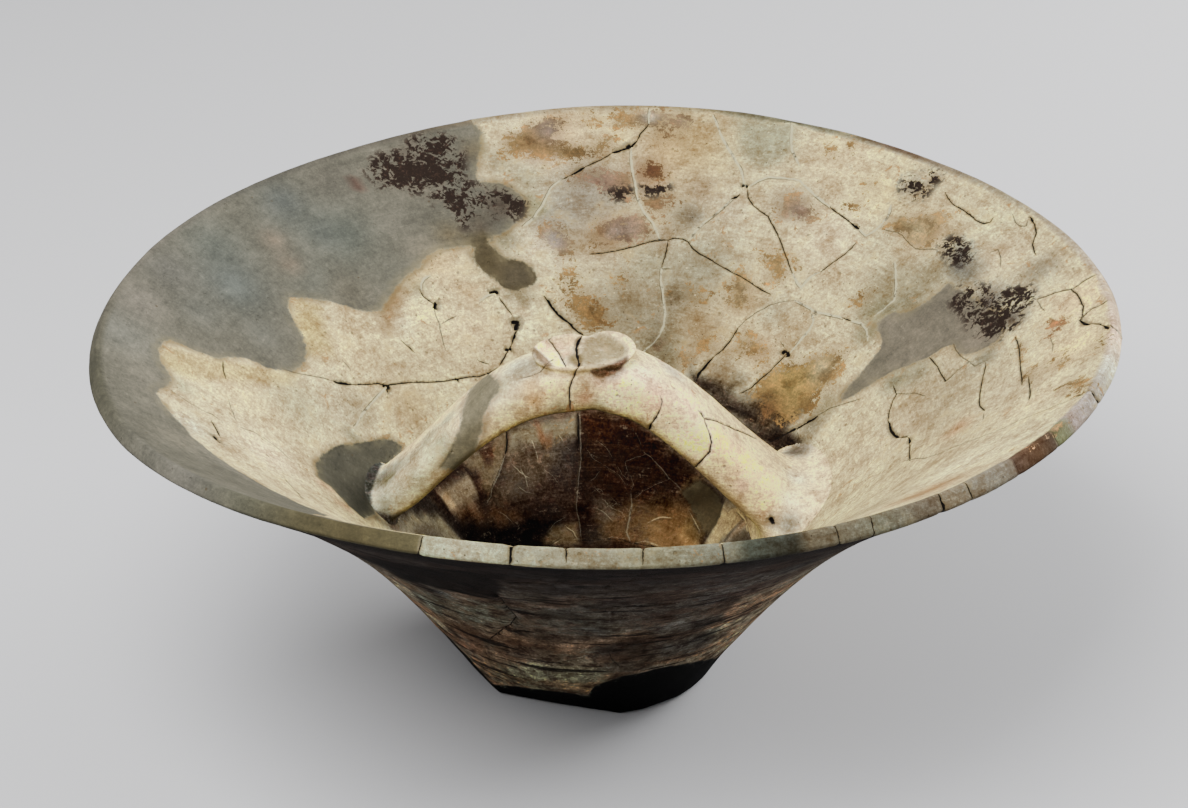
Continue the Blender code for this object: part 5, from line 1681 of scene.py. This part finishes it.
strap_places = unevenness(strap.data, sink_marks(strap.data, strap_marks))
strap_fill = [
    [(485, 372), (500, 384), (498, 392), (490, 400), (484, 415), (482, 432), (474, 452), (462, 470),
     (440, 468), (450, 452), (458, 430), (463, 410), (470, 388)],
]
strap_dabs = [
    ((550, 393), 26, (210, 197, 163)), ((505, 405), 20, (200, 188, 156)), ((520, 412), 8, (176, 152, 108)),
    ((420, 488), 26, (184, 174, 138)), ((430, 452), 20, (184, 176, 140)),
    ((450, 462), 14, (176, 164, 126)), ((400, 500), 14, (178, 162, 124)),
    ((388, 512), 10, (196, 186, 154)), ((515, 366), 18, (186, 178, 150)),
    ((500, 362), 12, (182, 166, 134)), ((640, 372), 18, (222, 216, 196)),
    ((620, 382), 16, (218, 204, 176)), ((655, 398), 20, (212, 192, 166)),
    ((690, 402), 20, (222, 206, 184)), ((680, 430), 18, (218, 208, 184)),
    ((700, 442), 14, (226, 216, 192)), ((722, 440), 16, (222, 202, 172)),
    ((745, 460), 24, (224, 210, 180)), ((770, 482), 20, (226, 218, 190)),
    ((795, 478), 14, (206, 200, 176)), ((790, 500), 14, (210, 203, 178)),
    ((765, 505), 14, (222, 212, 184)), ((745, 522), 14, (186, 168, 130)),
    ((735, 502), 12, (178, 152, 108)), ((712, 484), 12, (158, 128, 86)), ((690, 466), 10, (176, 152, 108)),
    ((600, 408), 12, (162, 146, 104)), ((560, 408), 12, (158, 140, 100)),
    ((640, 424), 10, (168, 150, 106)), ((585, 398), 8, (188, 156, 118)), ((383, 478), 18, (100, 93, 70)),
    ((396, 468), 13, (136, 124, 92)), ((798, 450), 15, (126, 110, 84)), ((789, 525), 11, (134, 120, 92)),
    ((455, 465), 8, (158, 140, 104)), ((526, 368), 16, (146, 131, 99)), ((382, 514), 9, (96, 84, 60)),
    ((384, 500), 13, (146, 136, 102)), ((411, 458), 14, (164, 154, 122)),
    ((428, 438), 15, (166, 156, 122)), ((398, 488), 12, (168, 157, 122)),
    ((448, 418), 12, (170, 162, 130)), ((456, 455), 8, (148, 134, 96)), ((528, 370), 16, (164, 150, 118)),
    ((578, 374), 16, (190, 172, 132)), ((576, 362), 6, (130, 110, 76)), ((673, 371), 14, (168, 152, 124)),
    ((620, 398), 14, (222, 212, 192)), ((700, 440), 14, (232, 222, 206)), ((600, 380), 9, (184, 156, 120)),
    # Many of the next dabs paint light and shade on the dish: painted highlight on the left petal's inside
    # and along the right rim, painted shade on the left petal's outer face, in the hollow and under the right
    # lip.
    ((534, 400), 9, (184, 154, 104)), ((538, 344), 6, (226, 220, 196)), ((546, 348), 7, (232, 226, 204)),
    ((534, 351), 4, (140, 116, 80)), ((540, 357), 4, (136, 110, 76)), ((546, 362), 4, (146, 120, 84)),
    ((558, 346), 8, (212, 196, 166)), ((566, 354), 7, (198, 174, 138)), ((572, 342), 7, (210, 193, 158)),
    ((575, 360), 5, (138, 116, 76)), ((590, 345), 10, (160, 138, 100)), ((604, 345), 10, (158, 138, 98)),
    ((596, 356), 9, (160, 142, 102)), ((612, 350), 9, (172, 152, 114)), ((616, 338), 7, (204, 190, 158)),
    ((626, 346), 5, (206, 190, 156)), ((600, 366), 5, (166, 148, 106)), ((612, 371), 7, (104, 76, 48)),
    ((602, 373), 6, (112, 84, 54)), ((620, 367), 5, (112, 80, 52)), ((594, 372), 5, (150, 120, 84)),
    ((629, 352), 4, (220, 210, 184)), ((430, 505), 10, (150, 128, 92)), ((480, 462), 9, (164, 146, 102)),
    ((442, 446), 15, (160, 151, 114)), ((500, 386), 14, (172, 162, 124)),
    ((414, 478), 12, (172, 164, 128)), ((576, 358), 8, (148, 128, 86)), ((519, 372), 9, (164, 150, 116)),
    ((546, 370), 8, (170, 152, 110)), ((796, 452), 12, (108, 94, 72)), ((388, 479), 9, (112, 98, 62)),
    ((578, 358), 8, (128, 108, 68)), ((530, 386), 10, (196, 176, 132)), ((694, 436), 8, (224, 206, 190)),
    ((742, 486), 8, (200, 178, 150)),
]
strap_washes = [  # outline, softness in mm, strength, colour
    # The dish's hollow, darker: partly its own olive brown, partly painted shade in the hollow.
    ([(588, 338), (600, 334), (614, 338), (626, 346), (628, 353), (618, 360), (600, 364), (584, 366),
      (580, 352)], 1.2, 0.80, (146, 126, 86)),
    # The left petal's outer face: partly brown clay, partly painted shade on the face turned from the light.
    ([(531, 348), (535, 347), (547, 358), (553, 366), (547, 367), (537, 359)], 0.5, 0.9, (132, 108, 76)),
    # The left petal's pale inside: partly its cream slip, partly a painted highlight where it faces the
    # light.
    ([(532, 344), (540, 340), (552, 347), (566, 361), (568, 367), (556, 366), (546, 357)], 0.6, 0.8,
      (234, 228, 206)),
    # Painted shadow under the dish's overhanging right lip.
    ([(591, 371), (604, 367), (616, 362), (627, 357), (628, 361), (618, 370), (606, 377), (594, 376)], 0.8,
      0.9, (92, 66, 42)),
    ([(330, 440), (402, 438), (400, 447), (392, 456), (381, 466), (375, 480), (371, 494), (372, 506),
      (378, 516), (390, 524), (384, 534), (330, 520)], 0.7, 0.95, (70, 67, 55)),
    ([(376, 512), (392, 516), (404, 512), (408, 522), (392, 534), (376, 530)], 0.9, 0.8, (54, 42, 30)),
    # An olive band along the left leg's lower edge: partly its own olive, partly painted shade where it turns
    # down.
    ([(404, 512), (424, 498), (452, 478), (470, 462), (476, 470), (450, 494), (424, 514), (408, 524)], 1.0,
      0.7, (140, 122, 84)),
]
STRAP_COLOUR, BAND_COLOUR = (204, 192, 158), (140, 132, 100)
SHADED = [  # painted shade on the clay that is turned down: colour, from how far and to how far, strength
    ((176, 156, 112), -0.05, 0.35, 0.30), ((88, 74, 54), 0.60, 0.85, 0.85),
]
CLEAR_OF_ROOTS = 0.11
PIXEL_OFF = 200
STRAP_LIGHT = (1.90, 1.64, 1.30)


def on_photo(places):
    """The pixels that places fall on."""
    turned = (places - np.array(EYE)) @ np.array(look.to_matrix())
    span = PHOTO_WIDTH / 2 / math.tan(HALF_VIEW)
    return np.stack([PHOTO_WIDTH / 2 + turned[:, 0] / -turned[:, 2] * span,
                     PHOTO_HEIGHT / 2 - turned[:, 1] / -turned[:, 2] * span], 1)


def depth_in_view(places, outlines):
    """How far each place is inside any outline as the photograph shows it, in mm."""
    pixels = on_photo(places)
    deepest = np.full(len(places), -PIXEL_OFF * PIXEL_AT_BOWL * MILLIMETRES)
    for outline in outlines:
        outline = np.array(outline, float)
        far = np.full(len(places), np.inf)
        for start, end in zip(outline, np.roll(outline, -1, axis=0)):
            side = end - start
            share = np.clip((pixels - start) @ side / (side @ side), 0, 1)
            far = np.minimum(far, np.linalg.norm(pixels - start - share[:, None] * side, axis=1))
        signed = np.where(inside_outline(pixels, outline), far, -far) * PIXEL_AT_BOWL * MILLIMETRES
        deepest = np.maximum(deepest, signed)
    return deepest


# paint the strap, shaded where it is turned down
colours = np.tile(pigment(STRAP_COLOUR), (len(strap_places), 1))
colours = dab_on(colours, strap_places, strap_marks, strap_dabs)
facing = np.sum(read(strap.data, "normal") * (np.array(EYE) - strap_places), axis=1) > 0
for outline, softness, strength, colour in strap_washes:
    weight = np.clip(depth_in_view(strap_places, [outline]) / softness / 2 + 0.5, 0, 1) * facing * strength
    colours += (pigment(colour) - colours) * weight[:, None]
downward = -read(strap.data, "normal")[:, 2]
between_roots = np.abs(strap_places[:, 0]) < CLEAR_OF_ROOTS
for colour, start, end, strength in SHADED:
    weight = np.clip((downward - start) / (end - start), 0, 1) * strength * between_roots
    colours += (pigment(colour) - colours) * weight[:, None]
paint_on(strap.data, "paint", colours)
paint_on(strap.data, "plaster", np.tile(pigment(BAND_COLOUR), (len(strap_places), 1)))
write_attribute(strap.data, "fill", depth_in_view(strap_places, strap_fill))
paint_on(strap.data, "coat", np.tile(pigment(COAT_COLOUR), (len(strap_places), 1)))
for name in ("flake", "speck"):
    write_attribute(strap.data, name, np.full(len(strap_places), -FAR_EDGE * MILLIMETRES))
write_attribute(strap.data, "outer", np.zeros(len(strap_places)))
write_attribute(strap.data, "run", np.full(len(strap_places), -FAR_EDGE))
strap.data.vertices.foreach_set("co", strap_places.ravel())
strap.data.update()
strap.data.shade_smooth()
strap.data.materials.append(clay_finish("strap_clay", STRAP_LIGHT))
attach(strap, "root")
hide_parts("bowl")


# Floor and light
# A plain pale floor, a wide soft lamp above on the left, a lower one behind on the right, and a
# pale room around.
FLOOR_SIZE = 8
FLOOR_COLOUR, FLOOR_ROUGHNESS = (0.37, 0.37, 0.38, 1), 0.8
ROOM_COLOUR, ROOM_LIGHT = (1.0, 1.0, 1.0, 1), 0.72
LAMPS_AIM = Vector((0, 0, 0.08))
deselect_all()
bpy.ops.mesh.primitive_plane_add(size=FLOOR_SIZE)
floor = bpy.context.object
floor.name = floor.data.name = "floor"
floor_finish = bpy.data.materials.new("pale_floor")
floor_finish.use_nodes = True
floor_shader = floor_finish.node_tree.nodes["Principled BSDF"]
floor_shader.inputs["Base Color"].default_value = FLOOR_COLOUR
floor_shader.inputs["Roughness"].default_value = FLOOR_ROUGHNESS
floor.data.materials.append(floor_finish)

LAMPS = {  # place, size and power
    "over": ((-0.60, -0.75, 1.7), 1.3, 100),
    "side": ((1.7, 1.1, 1.0), 1.2, 110),
}
for lamp_name, (place, size, power) in LAMPS.items():
    lamp = bpy.data.lights.new(lamp_name, "AREA")
    lamp.energy, lamp.size = power, size
    lamp_object = bpy.data.objects.new(lamp_name, lamp)
    lamp_object.location = place
    lamp_object.rotation_euler = (LAMPS_AIM - Vector(place)).to_track_quat("-Z", "Y").to_euler()
    bpy.context.scene.collection.objects.link(lamp_object)
room = bpy.data.worlds.new("room")
room.use_nodes = True
room.node_tree.nodes["Background"].inputs["Color"].default_value = ROOM_COLOUR
room.node_tree.nodes["Background"].inputs["Strength"].default_value = ROOM_LIGHT
bpy.context.scene.world = room
